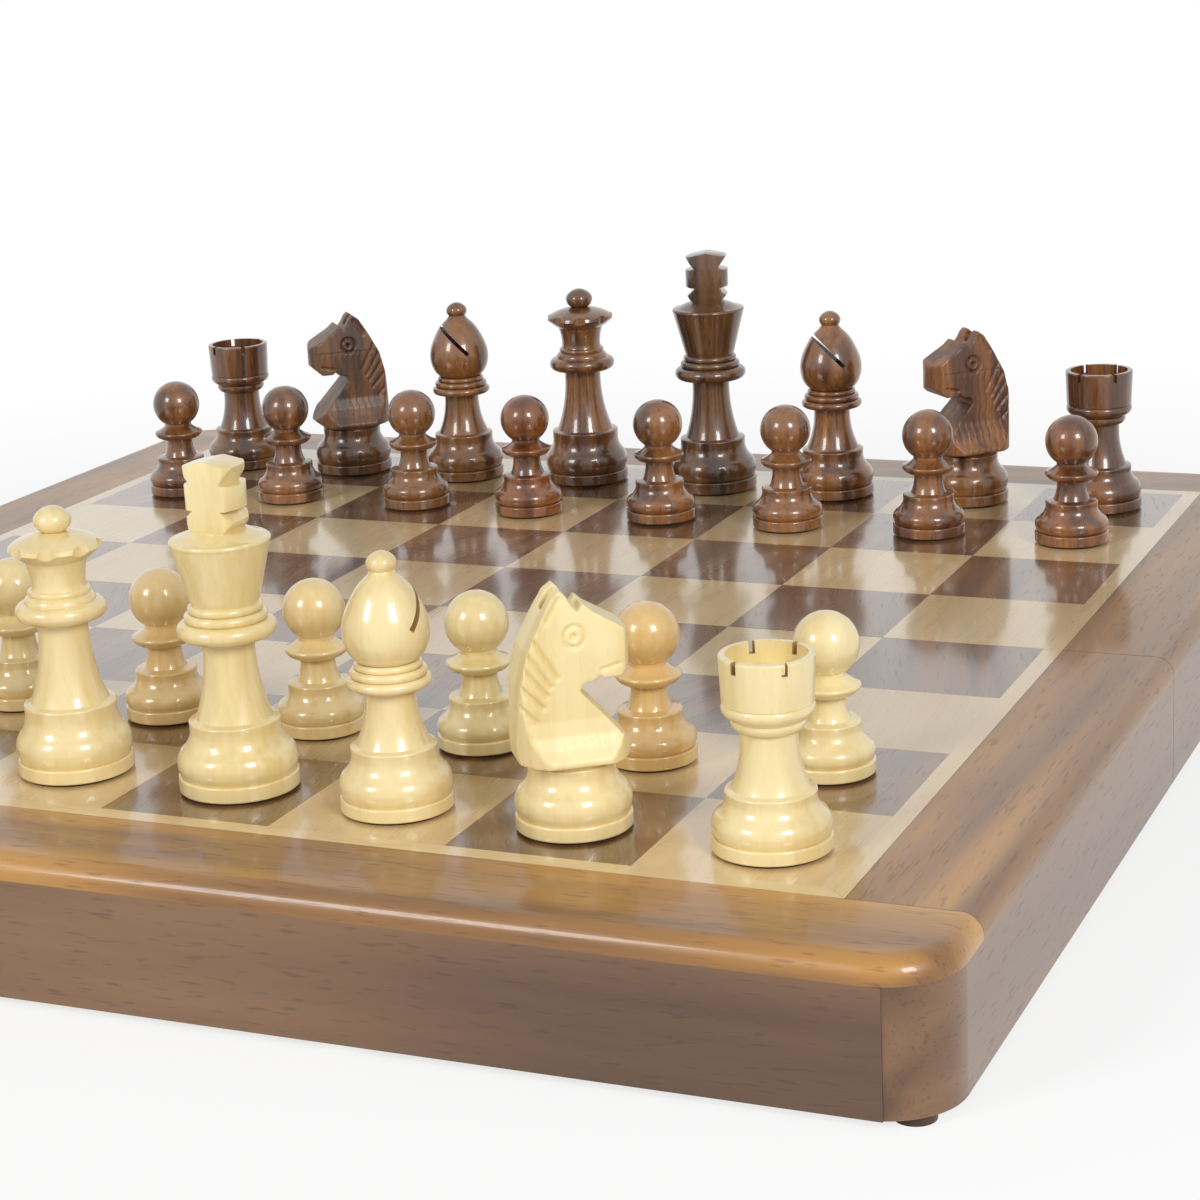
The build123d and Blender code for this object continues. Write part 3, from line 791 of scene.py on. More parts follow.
@dataclass(frozen=True)
class Foot:
    """Turned base and stem that all men share in form, heights from the square's face."""

    base: float
    disc: float
    belly: float
    belly_z: float
    shoulder: float
    shoulder_z: float
    stem: float
    top: float
    top_z: float
    felt: float = 0.4
    edge: float = 0.35
    groove: float = 0.55
    roll: float = 0.65
    hollow: float = 0.25

    ROUND = 0.1  # how far an edge's arc bulges short of its corner
    # Heights on the curve from the belly to the shoulder, as shares of that rise.
    WAIST_UP, HOLLOW_UP, CURVE_UP = 0.25, 0.44, 0.72
    STEM_UP, STEM_OUT = 0.45, 0.22  # middle of the stem: its height, and the taper left there

    def outline(self) -> Outline:
        """Disc, groove, belly, shoulder edge and hollowed stem."""
        o, soft = Outline(self.base - self.edge, self.felt), self.ROUND
        o.arc((self.base - soft, self.felt + soft), self.base, self.felt + self.edge)
        o.line(self.base, self.disc - self.edge)
        o.arc((self.base - soft, self.disc - soft), self.base - self.groove, self.disc)
        rise, waist = self.shoulder_z - self.belly_z, self.belly - self.roll
        o.arc((self.belly, self.belly_z), waist, self.belly_z + self.WAIST_UP * rise)
        middle = (waist + self.shoulder) / 2 - self.hollow
        o.arc((middle, self.belly_z + self.HOLLOW_UP * rise),
              self.shoulder - 0.05, self.belly_z + self.CURVE_UP * rise)
        o.line(self.shoulder, self.shoulder_z - self.edge)
        o.arc((self.shoulder - soft, self.shoulder_z),
              self.shoulder - self.edge, self.shoulder_z + soft)
        if self.top_z > self.shoulder_z + 1:
            o.line(self.stem, self.shoulder_z + self.edge)
            via_z = self.shoulder_z + self.STEM_UP * (self.top_z - self.shoulder_z)
            via = self.top + self.STEM_OUT * (self.stem - self.top)
            o.arc((via, via_z), self.top, self.top_z)
        return o


@dataclass(frozen=True)
class Man:
    """One kind of man. A subclass draws what stands on its foot."""

    foot: Foot
    sides: int = 112
    seat: Point = (0.0, 0.0)  # radius and rise of the flat under the rings
    rings: tuple[Spot, ...] = ()  # each ring's radius, the radius over it and its rise

    def outline(self) -> Outline:
        """Whole outline of the turned wood, here its foot with the rings on it."""
        o = self.foot.outline()
        if self.rings:
            o.line(self.seat[0], self.foot.top_z + self.seat[1])
        for ring in self.rings:
            o.bead(*ring)
        return o

    def wood(self, lathe: Lathe) -> bpy.types.Mesh:
        """Turned wooden body, in millimetres, its axis on Z."""
        return lathe.turn(self.outline().closed(), self.sides)


@dataclass(frozen=True)
class Pawn(Man):
    """Ball over a thin-edged collar."""

    foot: Foot = Foot(7.9, 2.7, 7.85, 4.4, 5.6, 9.2, 3.9, 3.15, 13.6)
    sides: int = 96
    collar: float = 5.7
    collar_height: float = 3.4
    neck: float = 3.2
    ball: float = 5.6
    ball_z: float = 22.2

    def outline(self) -> Outline:
        """Foot, collar and ball."""
        o, z, neck = self.foot.outline(), self.foot.top_z, self.neck
        o.line(neck + 0.4, z + 0.1).arc((self.collar - 0.6, z + 0.7), self.collar, z + 1.5)
        o.arc((self.collar - 0.02, z + 1.8), self.collar - 0.25, z + 2.05)
        o.arc((neck + 1.25, z + 2.5), neck, z + self.collar_height)
        o.line(neck, self.ball_z - math.sqrt(self.ball**2 - neck**2))
        return o.arc((self.ball, self.ball_z), 0, self.ball_z + self.ball)


@dataclass(frozen=True)
class Rook(Man):
    """Cup with a sunk top and two saw cuts across its rim."""

    foot: Foot = Foot(9.5, 2.7, 9.3, 5.0, 7.2, 9.9, 6.1, 4.5, 19.4)
    ring: float = 5.8
    cup: float = 7.15
    rim: float = 7.45
    top_z: float = 31.5
    wall: float = 1.1
    depth: float = 3.8
    slot_width: float = 1.0
    slot_depth: float = 1.9
    slot_angles: tuple[float, float] = (-49.0, 67.0)

    def outline(self) -> Outline:
        """Foot, ring, cup and hollow."""
        o, z, edge = self.foot.outline(), self.foot.top_z, self.foot.edge
        o.line(self.ring - 0.9, z + 0.1).bead(self.ring, self.ring, 1.7)
        o.line(self.cup - 0.7, z + 2.4).arc((self.cup, z + 3.1), self.cup, z + 4.2)
        o.line(self.cup - 0.2, z + 4.4).line(self.cup, z + 4.6)
        inner = self.rim - self.wall
        o.line(self.rim, self.top_z - edge)
        o.arc((self.rim - 0.1, self.top_z - 0.1), self.rim - edge, self.top_z)
        return o.line(inner, self.top_z).line(inner - 0.3, self.top_z - self.depth)

    def wood(self, lathe: Lathe) -> bpy.types.Mesh:
        """Turned cup with its saw cuts.

        Args:
            lathe: what turns it.

        Returns:
            Its mesh, in millimetres, its axis on Z.
        """
        half = (2 * self.rim, self.slot_width / 2, self.slot_depth)
        cuts = [block(half, turned((0, 0, self.top_z), a, "Z")) for a in self.slot_angles]
        return carved(super().wood(lathe), cuts, sawn=True)


@dataclass(frozen=True)
class Bishop(Man):
    """Onion-shaped mitre on three rings, with one slanting saw cut."""

    foot: Foot = Foot(9.35, 2.7, 9.3, 5.1, 7.1, 11.1, 6.1, 4.2, 21.0)
    seat: Point = (5.6, 0.2)
    rings: tuple[Spot, ...] = ((7.0, 5.9, 1.6), (6.35, 5.2, 1.3), (5.6, 4.7, 1.2))
    onion: float = 7.15
    onion_z: float = 30.4
    tip: float = 2.0
    tip_z: float = 40.2
    knob: float = 2.5
    top_z: float = 43.4
    slot_width: float = 0.9
    slot_tilt: float = 45.0
    slot_length: float = 13.0
    slot_end: Point = (2.5, 31.3)

    def outline(self) -> Outline:
        """Foot, rings, onion and knob."""
        o, z = super().outline(), self.onion_z
        o.curve((self.onion, z), (5.7, z + 4.9), (3.5, z + 8.1), (self.tip, self.tip_z),
                leave=(1, 0.5), arrive=(-0.4, 1))
        return o.curve((self.knob, self.tip_z + 1.3), (0, self.top_z),
                       leave=(1, 1), arrive=(-1, 0))

    def wood(self, lathe: Lathe) -> bpy.types.Mesh:
        """Turned mitre with its cut.

        Args:
            lathe: what turns it.

        Returns:
            Its mesh, in millimetres, its axis on Z.
        """
        x, z = self.slot_end
        half = (self.slot_length / 2, 1.5 * self.onion, self.slot_width / 2)
        place = turned((x, 0, z), self.slot_tilt, "Y") @ Matrix.Translation((-half[0], 0, 0))
        return carved(super().wood(lathe), [block(half, place)], sawn=True)


@dataclass(frozen=True)
class Queen(Man):
    """Scalloped coronet with a flattened ball on its dome."""

    foot: Foot = Foot(9.9, 2.9, 9.9, 5.6, 7.95, 12.6, 6.7, 4.35, 27.3)
    seat: Point = (5.8, 0.2)
    rings: tuple[Spot, ...] = ((7.8, 6.1, 3.0), (5.95, 5.2, 1.3), (5.35, 4.8, 1.1))
    neck: float = 4.6
    rim: float = 7.95
    rim_z: float = 40.2
    dome_z: float = 42.6
    ball: float = 3.2
    ball_height: float = 4.9
    top_z: float = 47.0
    scallops: int = 8
    scallop: float = 2.2
    scallop_depth: float = 0.8
    scallop_reach: float = 2.2  # how far a scallop's cutter goes over and under the rim

    def outline(self) -> Outline:
        """Foot, rings, coronet, dome and ball."""
        o, z, edge = super().outline(), self.foot.top_z, self.foot.edge
        o.line(self.neck, z + 6.2)
        o.arc((self.neck + 0.1, z + 8.0), self.neck + 0.7, self.rim_z - 2.4)
        o.arc((6.5, self.rim_z - 1.6), self.rim, self.rim_z - edge)
        o.line(self.rim - 0.2, self.rim_z + edge)
        o.curve((5.0, self.dome_z - 0.7), (1.9, self.dome_z), leave=(-1, 0.7), arrive=(-1, 0.1))
        return o.curve((self.ball, self.top_z - self.ball_height / 2), (0, self.top_z),
                       leave=(1, 0.4), arrive=(-1, 0))

    def wood(self, lathe: Lathe) -> bpy.types.Mesh:
        """Turned coronet with its scallops.

        Args:
            lathe: what turns it.

        Returns:
            Its mesh, in millimetres, its axis on Z.
        """
        out = Matrix.Translation((self.rim + self.scallop - self.scallop_depth, 0, 0))
        low, high = self.rim_z - self.scallop_reach, self.rim_z + self.scallop_reach
        cuts = []
        for i in range(self.scallops):
            angle = math.radians(360 / self.scallops * (i + 0.5))
            cuts.append(drum(self.scallop, low, high, Matrix.Rotation(angle, 4, "Z") @ out, 40))
        return carved(super().wood(lathe), cuts)


@dataclass(frozen=True)
class King(Man):
    """Flared crown with a shallow dome and a thick cross."""

    foot: Foot = Foot(10.15, 3.1, 10.1, 5.7, 7.7, 12.4, 6.4, 4.4, 26.6)
    seat: Point = (6.3, 0.1)
    rings: tuple[Spot, ...] = ((8.35, 6.6, 2.8), (7.0, 5.9, 1.5), (6.25, 5.6, 1.4))
    crown: float = 5.9
    rim: float = 8.35
    rim_z: float = 43.5
    dome_z: float = 45.2
    top_z: float = 56.6
    cross_thickness: float = 7.2
    bar: float = 9.8
    bar_z: tuple[float, float] = (48.7, 52.6)
    waist: float = 5.2
    flare: float = 9.5
    cross_foot: float = 9.2
    cross_edge: float = 0.22
    blank_over: float = 0.15  # how far the cross's round blank reaches past its bar

    def outline(self) -> Outline:
        """Foot, rings, crown and dome."""
        o = super().outline().line(self.crown, self.foot.top_z + 6.6)
        o.arc((7.2, self.rim_z - 5.2), self.rim, self.rim_z - 0.8)
        o.arc((self.rim + 0.05, self.rim_z - 0.3), self.rim - 0.6, self.rim_z)
        return o.curve((4.6, self.dome_z - 0.4), (0, self.dome_z),
                       leave=(-1, 0.3), arrive=(-1, 0))

    def cross(self) -> bpy.types.Mesh:
        """Cross with notched ends, rounded by the lathe, its edges softened."""
        low, high = self.bar_z
        right = [
            (self.cross_foot / 2 - 1.9, self.dome_z - 0.6),
            (self.cross_foot / 2, self.dome_z + 1.4),
            (self.waist / 2, low - 0.25), (self.bar / 2, low), (self.bar / 2, high),
            (self.waist / 2, high + 0.25), (self.flare / 2, self.top_z - 0.9)]
        outline = [*right, (0, self.top_z), *[(-x, z) for x, z in reversed(right)]]
        round_blank = drum(self.bar / 2 + self.blank_over, 0, self.top_z + 1)
        shape = carved(prism(outline, self.cross_thickness / 2), [round_blank], "INTERSECT")
        return bevelled(shape, self.cross_edge, angle=20)

    def wood(self, lathe: Lathe) -> bpy.types.Mesh:
        """Turned crown with its cross."""
        return joined(super().wood(lathe), self.cross())


@dataclass(frozen=True)
class Knight(Man):
    """Turned base with a flat-cheeked horse's head carved from a round blank."""

    foot: Foot = Foot(9.4, 2.8, 9.3, 5.7, 7.1, 11.4, 7.1, 7.1, 11.6)
    blank: float = 9.7
    blank_height: float = 45.0
    grain: float = 0.24  # size of the remeshed facets
    mane_share: float = 1.0  # how deep the mane is cut
    saw_marks: float = 0.0  # depth of upright saw marks left on the neck
    # Blocks cut away beside the muzzle and between the ears: middle, half size, turn in degrees.
    muzzle: tuple[Spot, Spot, float] = ((10.6, 6.7, 29.0), (7.0, 2.5, 8.0), -22.0)
    ear_gap: tuple[Spot, Spot, float] = ((-0.6, 0.0, 41.2), (5.5, 1.3, 3.7), -38.0)
    cut_depth: float = 0.45
    eye: Point = (0.45, 32.5)
    # Round cuts about the eye: radius, width and share of the depth.
    eye_cuts: tuple[Spot, ...] = ((1.65, 0.28, 1.0), (0.0, 0.42, 1.8))
    # Straight cuts from point to point. Each one's _cut is its width and share of the depth.
    mouth: tuple[Point, Point] = ((7.4, 27.6), (4.6, 26.9))
    mouth_cut: Point = (0.26, 0.8)
    ear: tuple[Point, Point] = ((-1.6, 38.4), (-3.6, 35.2))
    ear_cut: Point = (0.5, 0.8)
    mane_cut: Point = (0.32, 1.3)
    # Upright tool marks: height, how close they stand and where they start.
    marks: tuple[Spot, ...] = ((0.22, 4.3, 0.0), (0.16, 7.9, 2.0), (0.12, 13.1, 1.3))
    mark_depth: Point = (0.05, 0.1)  # depth of the usual marks, and what full saw marks add
    chest_top: float = 24.0  # every chest has tool marks below it
    chest_fade: float = 5.0
    marks_top: float = 31.0  # the saw marks end here
    side: tuple[Point, ...] = (
        (7.6, 12.4), (9.6, 13.8), (4.6, 19.6), (1.0, 23.6), (1.4, 24.9), (3.4, 25.3), (4.1, 26.2),
        (4.9, 25.5), (7.4, 25.5), (9.5, 27.4), (9.7, 31.9), (9.3, 32.7), (3.7, 36.1), (2.2, 37.5),
        (1.3, 36.1), (0.2, 37.6), (-0.4, 38.8), (-1.3, 39.8), (-2.8, 38.6), (-4.8, 35.2),
        (-7.3, 30.2), (-8.6, 24.5), (-9.3, 15.5), (-9.0, 12.4))
    front: tuple[Point, ...] = (
        (8.4, 11.6), (8.3, 13.2), (7.1, 15.0), (6.1, 16.9), (5.4, 19.4), (4.9, 30.0), (3.7, 40.5))
    mane: tuple[tuple[Point, Point], ...] = (
        ((-6.7, 33.7), (-2.5, 26.3)), ((-8.0, 31.8), (-3.7, 24.9)), ((-8.6, 29.1), (-4.3, 23.5)),
        ((-9.0, 25.8), (-5.0, 21.7)), ((-9.2, 22.6), (-6.3, 19.6)))

    def outline(self) -> Outline:
        """Foot with a short stub that the head stands on."""
        return self.foot.outline().line(self.foot.stem, self.side[0][1] + self.foot.edge)

    def head(self) -> bpy.types.Mesh:
        """Head cut to its side and front views, softened, then carved."""
        outline = [*self.front, *[(-y, z) for y, z in reversed(self.front)]]
        trim = prism(outline, self.blank + 1, Fibre.X)
        rough = prism(list(self.side), self.blank)
        shape = carved(rough, [trim, drum(self.blank, 0, self.blank_height)], "INTERSECT")
        (x, y, z), half, angle = self.muzzle
        cuts = [block(half, turned((x, side * y, z), side * angle, "Z")) for side in (1, -1)]
        middle, half, angle = self.ear_gap
        cuts.append(block(half, turned(middle, angle, "Y")))
        body = new_object("head", carved(shape, cuts))
        remesh = body.modifiers.new("grain", "REMESH")
        remesh.mode, remesh.voxel_size = "VOXEL", self.grain
        soften = body.modifiers.new("soften", "SMOOTH")
        soften.factor, soften.iterations = 0.5, 3
        mesh = evaluated(body)
        self.carve(mesh)
        return mesh

    def carve(self, mesh: bpy.types.Mesh) -> None:
        """Sink the eye, mane, mouth, ear and tool marks into both cheeks.

        Args:
            mesh: the head, whose points are moved.
        """
        count = len(mesh.vertices)
        spots, facing = np.zeros(count * 3), np.zeros(count * 3)
        mesh.vertices.foreach_get("co", spots)
        mesh.vertex_normals.foreach_get("vector", facing)
        spots, facing = spots.reshape(-1, 3), facing.reshape(-1, 3)
        x, z = spots[:, 0], spots[:, 2]
        cheek = np.clip(np.abs(facing[:, 1]) * 1.4 - 0.3, 0, 1)  # 1 on the flat of a cheek
        from_eye = np.hypot(x - self.eye[0], z - self.eye[1])
        cuts = [(from_eye - radius, width, deep) for radius, width, deep in self.eye_cuts]
        width, deep = self.mane_cut
        strokes = [(*line, width, deep * self.mane_share) for line in self.mane]
        for start, end, width, deep in (
                *strokes, (*self.mouth, *self.mouth_cut), (*self.ear, *self.ear_cut)):
            a, b = np.array(start), np.array(end)
            run = b - a
            share = np.clip(((x - a[0]) * run[0] + (z - a[1]) * run[1]) / (run @ run), 0, 1)
            away = np.hypot(x - a[0] - share * run[0], z - a[1] - share * run[1])
            cuts.append((away, width, deep))
        depth = np.zeros(count)
        for away, width, deep in cuts:
            depth = np.maximum(depth, self.cut_depth * deep * np.exp(-((away / width) ** 2)))
        neck = np.clip((self.chest_top - z) / self.chest_fade, 0, 1) + self.saw_marks
        wander = x + 0.25 * np.sin(z * 0.8 + 1.1) + 0.1 * np.sin(z * 2.3)
        marks = 0.5
        for height, rate, start in self.marks:
            marks = marks + height * np.sin(wander * rate + start)
        usual, added = self.mark_depth
        marked = np.clip(neck, 0, 1) * (z < self.marks_top)
        depth += marks * marked * (usual + added * self.saw_marks)
        spots -= facing * (depth * cheek)[:, None]
        mesh.vertices.foreach_set("co", spots.ravel())
        mesh.update()

    def wood(self, lathe: Lathe) -> bpy.types.Mesh:
        """Turned base with the carved head, which takes the second material.

        Args:
            lathe: what turns it.

        Returns:
            Its mesh, in millimetres, its axis on Z.
        """
        head = self.head()
        head.polygons.foreach_set("material_index", np.ones(len(head.polygons), dtype=np.int32))
        return joined(super().wood(lathe), head)


class Side(Enum):
    """The two sides, with their name, their wood and the wood's name."""

    WHITE = ("white", BOXWOOD, "boxwood")
    BLACK = ("black", ROSEWOOD, "rosewood")


@dataclass
class ChessMen:
    """All 32 men: a wooden body, a magnet and a felt disc each."""

    magnet: float = 3.5
    magnet_height: float = 4.0
    felt_inset: float = 0.7
    nap: float = 0.02  # hair's breadth that the felt stands off the squares
    sharp: float = 32.0  # least bend of an edge that isn't smoothed over, in degrees
    kinds: dict[str, Man] = field(default_factory=lambda: {
        "pawn": Pawn(), "rook": Rook(), "white_knight": Knight(), "bishop": Bishop(),
        "queen": Queen(), "black_knight": Knight(mane_share=0.5, saw_marks=1.0), "king": King()})
    turns: dict[str, float] = field(default_factory=lambda: {
        "b1": 28.0, "g1": 36.0, "b8": 221.0, "g8": 224.0, "c1": 240.0, "f1": 263.8, "c8": 23.8,
        "f8": 23.8, "e8": 16.0})
    # How light each man's blank is, and how red, against the set's usual wood.
    blanks: dict[str, Point] = field(default_factory=lambda: {
        "d2": (0.92, 0.5), "g2": (0.9, 0.75), "e2": (0.94, 0.3), "c2": (0.96, 0.2),
        "f2": (1.02, 0.0), "h2": (1.02, 0.0), "e1": (1.03, 0.0), "g1": (1.04, 0.0),
        "h1": (1.0, 0.05), "e8": (0.5, 0.0), "b8": (0.6, 0.0), "a8": (0.8, 0.1), "d7": (0.9, 0.9),
        "e7": (1.12, 0.2), "h7": (1.15, 0.4), "g7": (0.95, 0.3), "d8": (0.92, 0.05),
        "c8": (0.95, 0.1), "f8": (1.1, 0.15), "h8": (0.85, 0.3), "c7": (0.85, 0.1)})

    USUAL_BLANK = (1.0, 0.1)
    REDDER = (0.06, -0.18, -0.4)  # what full redness adds to each channel
    BRIGHTEST = 1.3
    # Tint that the faces inside the saw cuts are multiplied by: painted shade for the slots'
    # depths.
    SAWN_PAINTED_SHADE = (0.5, 0.36, 0.25)
    FILE_SHIFT, RANK_SHIFT = 0.37, 0.53  # how far along the plank the next man is cut, in metres

    def finish(self, side: Side, square: str, satin: bool = False) -> bpy.types.Material:
        """Wood of one man, cut from its own blank.

        Args:
            side: whose man it is.
            square: the square that it starts on.
            satin: whether it is carved and only rubbed, not polished on the lathe.

        Returns:
            Its lacquered wood.
        """
        timber = side.value[1]
        if satin:
            timber = replace(
                timber, name=f"{timber.name}_carved", roughness=0.5, coat=0.35, coat_roughness=0.3)
        light, red = self.blanks.get(square, self.USUAL_BLANK)
        graph = Graph(f"{timber.name}_{square}")
        shift = self.FILE_SHIFT * "abcdefgh".index(square[0]) + self.RANK_SHIFT * int(square[1])
        place = graph.vector("ADD", graph.place(), (shift, 0.7 * shift, 0.3 * shift))
        colour, pores, streak = timber.grain(graph, place, Fibre.Z)
        tint = tuple(min(self.BRIGHTEST, light * (1 + more * red)) for more in self.REDDER)
        return timber.coated(graph, graph.mix(1.0, colour, tint, "MULTIPLY"), pores, streak)

    def sawn_shaded_finish(self, side: Side) -> bpy.types.Material:
        """Wood inside the saw cuts, rough and hardly lacquered, its colour darkened as painted
        shade for the slots.

        Args:
            side: whose wood it is.

        Returns:
            Its rough, hardly lacquered wood, darkened as painted shade.
        """
        timber = side.value[1]
        rough = replace(timber, name=f"{timber.name}_sawn", roughness=0.7, coat=0.1)
        graph = Graph(rough.name)
        colour, pores, streak = rough.grain(graph, graph.place(), Fibre.Z)
        # Painted shade: the faces inside the cuts are darkened.
        shaded = graph.mix(1.0, colour, self.SAWN_PAINTED_SHADE, "MULTIPLY")
        return rough.coated(graph, shaded, pores, streak)

    def build(self) -> None:
        """Turn each kind once and set a finished copy on every man's place."""
        lathe = Lathe()
        bodies = {}
        for kind, man in self.kinds.items():
            bodies[kind] = man.wood(lathe)
            log.info("turned %s: %d faces", kind, len(bodies[kind].polygons))
        felt_shadow_finish, magnet_finish = BASE_FELT_AS_SHADOW.material(), NICKEL.material()
        sawn = {side: self.sawn_shaded_finish(side) for side in Side}
        for side in Side:
            colour, _, slot = side.value
            for node in sorted(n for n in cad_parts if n.startswith(colour + "_")):
                _, kind, square = node.split("_")
                kind = f"{colour}_{kind}" if kind == "knight" else kind
                foot = self.kinds[kind].foot
                place = self.place(node, self.turns.get(square, 0.0))
                horse = "knight" in kind
                second = self.finish(side, square, satin=True) if horse else sawn[side]
                finishes = self.finish(side, square), second
                wood = self.piece(f"{node}_wood", bodies[kind], place, *finishes)
                edge, top = foot.base - self.felt_inset, foot.felt + self.magnet_height
                disc = lathe.turn(Outline(edge, self.nap).line(edge, foot.felt).closed(), 64)
                # Each felt disc wears the dark base felt, a painted contact shadow under the man.
                felt = self.piece(f"{node}_felt", disc, place, felt_shadow_finish)
                slug = Outline(self.magnet, foot.felt).line(self.magnet, top)
                magnet = self.piece(
                    f"{node}_magnet", lathe.turn(slug.closed(), 48), place, magnet_finish)
                for part in (wood, felt, magnet):
                    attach(part, node)
                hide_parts(node)
            log.info("set out the %s men", colour)

    @staticmethod
    def place(node: str, turn: float) -> Matrix:
        """Where a man stands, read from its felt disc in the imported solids.

        Args:
            node: the man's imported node.
            turn: how far it is turned on its square, in degrees.

        Returns:
            Matrix from millimetres about its axis to its place.
        """
        spots = np.array([v.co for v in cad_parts[node].data.vertices])
        low = spots[:, 2].min()
        disc = spots[spots[:, 2] < low + 0.2 * MM]
        middle = (disc.min(0) + disc.max(0)) / 2
        return turned((middle[0], middle[1], low), turn, "Z") @ Matrix.Scale(MM, 4)

    def piece(self, name: str, mesh: bpy.types.Mesh, place: Matrix,
              *finishes: bpy.types.Material) -> bpy.types.Object:
        """A dressed copy of a mesh, with its place in the mesh.

        Args:
            name: its name.
            mesh: its shape, in millimetres about Z.
            place: where it stands.
            finishes: the material of its surface, and of faces that a saw left if it has any.

        Returns:
            The finished piece.
        """
        copy = mesh.copy()
        copy.name = name
        copy.transform(place)
        copy.shade_smooth()
        copy.set_sharp_from_angle(angle=math.radians(self.sharp))
        marks = np.zeros(len(copy.polygons), dtype=np.int32)
        copy.polygons.foreach_get("material_index", marks)
        copy.materials.clear()
        for each in finishes[:int(marks.max()) + 1]:
            copy.materials.append(each)
        copy.polygons.foreach_set("material_index", marks)
        log.info("made %s", name)
        return new_object(name, copy)


# ---- Board


@dataclass
class Board:
    """The two halves of the case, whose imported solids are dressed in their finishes."""

    square: float = 31.75 * MM
    string_edge: float = 130.5 * MM
    joint: float = 0.12 * MM
    # Where in their planks the rails and the walls are cut from.
    rail_shift: Spot = (0.31, 0.17, 0.05)
    wall_shift: Spot = (0.11, 0.43, 0.02)
    sheet_shift: Point = (3.1, 1.7)  # how far apart the squares lie in their veneer sheet
    # Half the spread of the fibres' direction from square to square, in radians.
    dark_lean: float = 0.5
    light_lean: float = 0.12
    darkest: float = 0.86  # how light the darkest square of a sheet is
    lighter: float = 0.26  # and how much lighter the lightest is

    def line(self, gap: Socket, fade: float) -> Socket:
        """1 on a joint, where a distance is about nought, falling to 0 beside it."""
        return 1 - abs(gap).ramp(self.joint, fade * self.joint)

    def rail_finish(self) -> bpy.types.Material:
        """Border rails: fibres along each rail, a fine dark line where they butt."""
        graph = Graph("rail_wood")
        x, y, _ = graph.axes(graph.place())
        end, beside = abs(y) > self.string_edge, abs(x) > self.string_edge
        shifted = graph.vector("ADD", graph.lengthwise(end), self.rail_shift)
        colour, pores, streak = SHEESHAM.grain(graph, shifted, Fibre.X)
        butt = self.line(abs(y) - self.string_edge, 2.2) * beside
        inner = self.line(abs(x) - self.string_edge, 2.2) * (1 - end)
        lined = graph.mix((butt + inner) * 0.6, colour, SHEESHAM.pore)
        return SHEESHAM.coated(graph, lined, pores, streak)

    def wall_finish(self, name: str, fibre: Fibre) -> bpy.types.Material:
        """A wall's wood.

        Args:
            name: the finish's name.
            fibre: axis of its fibres.

        Returns:
            The lacquered wood.
        """
        graph = Graph(name)
        place = graph.vector("ADD", graph.place(), self.wall_shift)
        return WALL_WOOD.coated(graph, *WALL_WOOD.grain(graph, place, fibre))

    def square_finish(self, timber: Timber, lean: float) -> bpy.types.Material:
        """Veneer squares, each cut from its own place in the sheet.

        Args:
            timber: the veneer.
            lean: half the spread of the fibres' direction from square to square, in radians.

        Returns:
            The lacquered veneer.
        """
        graph = Graph(timber.name)
        place = graph.place()
        cell = graph.vector("FLOOR", graph.vector("DIVIDE", place, (self.square,) * 3), (0, 0, 0))
        x, y, _ = graph.axes(cell)
        chance = graph.node("ShaderNodeTexWhiteNoise", {"noise_dimensions": "3D"},
                            {"Vector": graph.join(x, y, 0.0)})
        turn = (chance - 0.5) * (2 * lean)
        leant = graph.node("ShaderNodeVectorRotate", {"rotation_type": "Z_AXIS"},
                           {"Vector": place, "Angle": turn})
        across, along = (chance * shift for shift in self.sheet_shift)
        moved = graph.vector("ADD", leant, graph.join(across, along, 0.0))
        colour, pores, streak = timber.grain(graph, moved, Fibre.Y)
        light = chance * self.lighter + self.darkest
        tinted = graph.mix(1.0, colour, graph.join(light, light, light), "MULTIPLY")
        return timber.coated(graph, tinted, pores, streak)

    def string_finish(self) -> bpy.types.Material:
        """Light stringing with its fibres along each strip and a fine line at the mitres."""
        graph = Graph("stringing")
        x, y, _ = graph.axes(graph.place())
        along = graph.lengthwise(abs(y) > abs(x))
        colour, pores, streak = PALE_VENEER.grain(graph, along, Fibre.X)
        mitre = self.line(abs(x) - abs(y), 2) * 0.5
        lined = graph.mix(mitre, colour, PALE_VENEER.pore)
        return PALE_VENEER.coated(graph, lined, pores, streak)

    def dress(self) -> None:
        """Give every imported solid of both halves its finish."""
        ply = Graph("deck_ply")
        finishes = {
            "cap_rails": self.rail_finish(),
            "side_walls": self.wall_finish("side_wall_wood", Fibre.Y),
            "end_wall": self.wall_finish("end_wall_wood", Fibre.X),
            "seam_wall": self.wall_finish("seam_wall_wood", Fibre.X),
            "deck": PLY.coated(ply, *PLY.grain(ply, ply.place(), Fibre.X)),
            "steel_sheet": STEEL.material(),
            "dark_squares": self.square_finish(DARK_VENEER, self.dark_lean),
            "light_squares": self.square_finish(PALE_VENEER, self.light_lean),
            "stringing": self.string_finish(),
            "felt_lining": TRAY_FELT.material(),
            "felt_feet": FOOT_FELT.material(),
            "catch_magnets": NICKEL.material(),
            "hinge_screws": BRASS.material(),
            "hinge_leaves": BRASS.material(),
        }
        for half in ("front", "back"):
            for part, finish in finishes.items():
                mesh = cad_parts[f"{half}_{part}"].data
                mesh.materials.clear()
                mesh.materials.append(finish)
                log.info("dressed %s_%s", half, part)


# ---- Studio


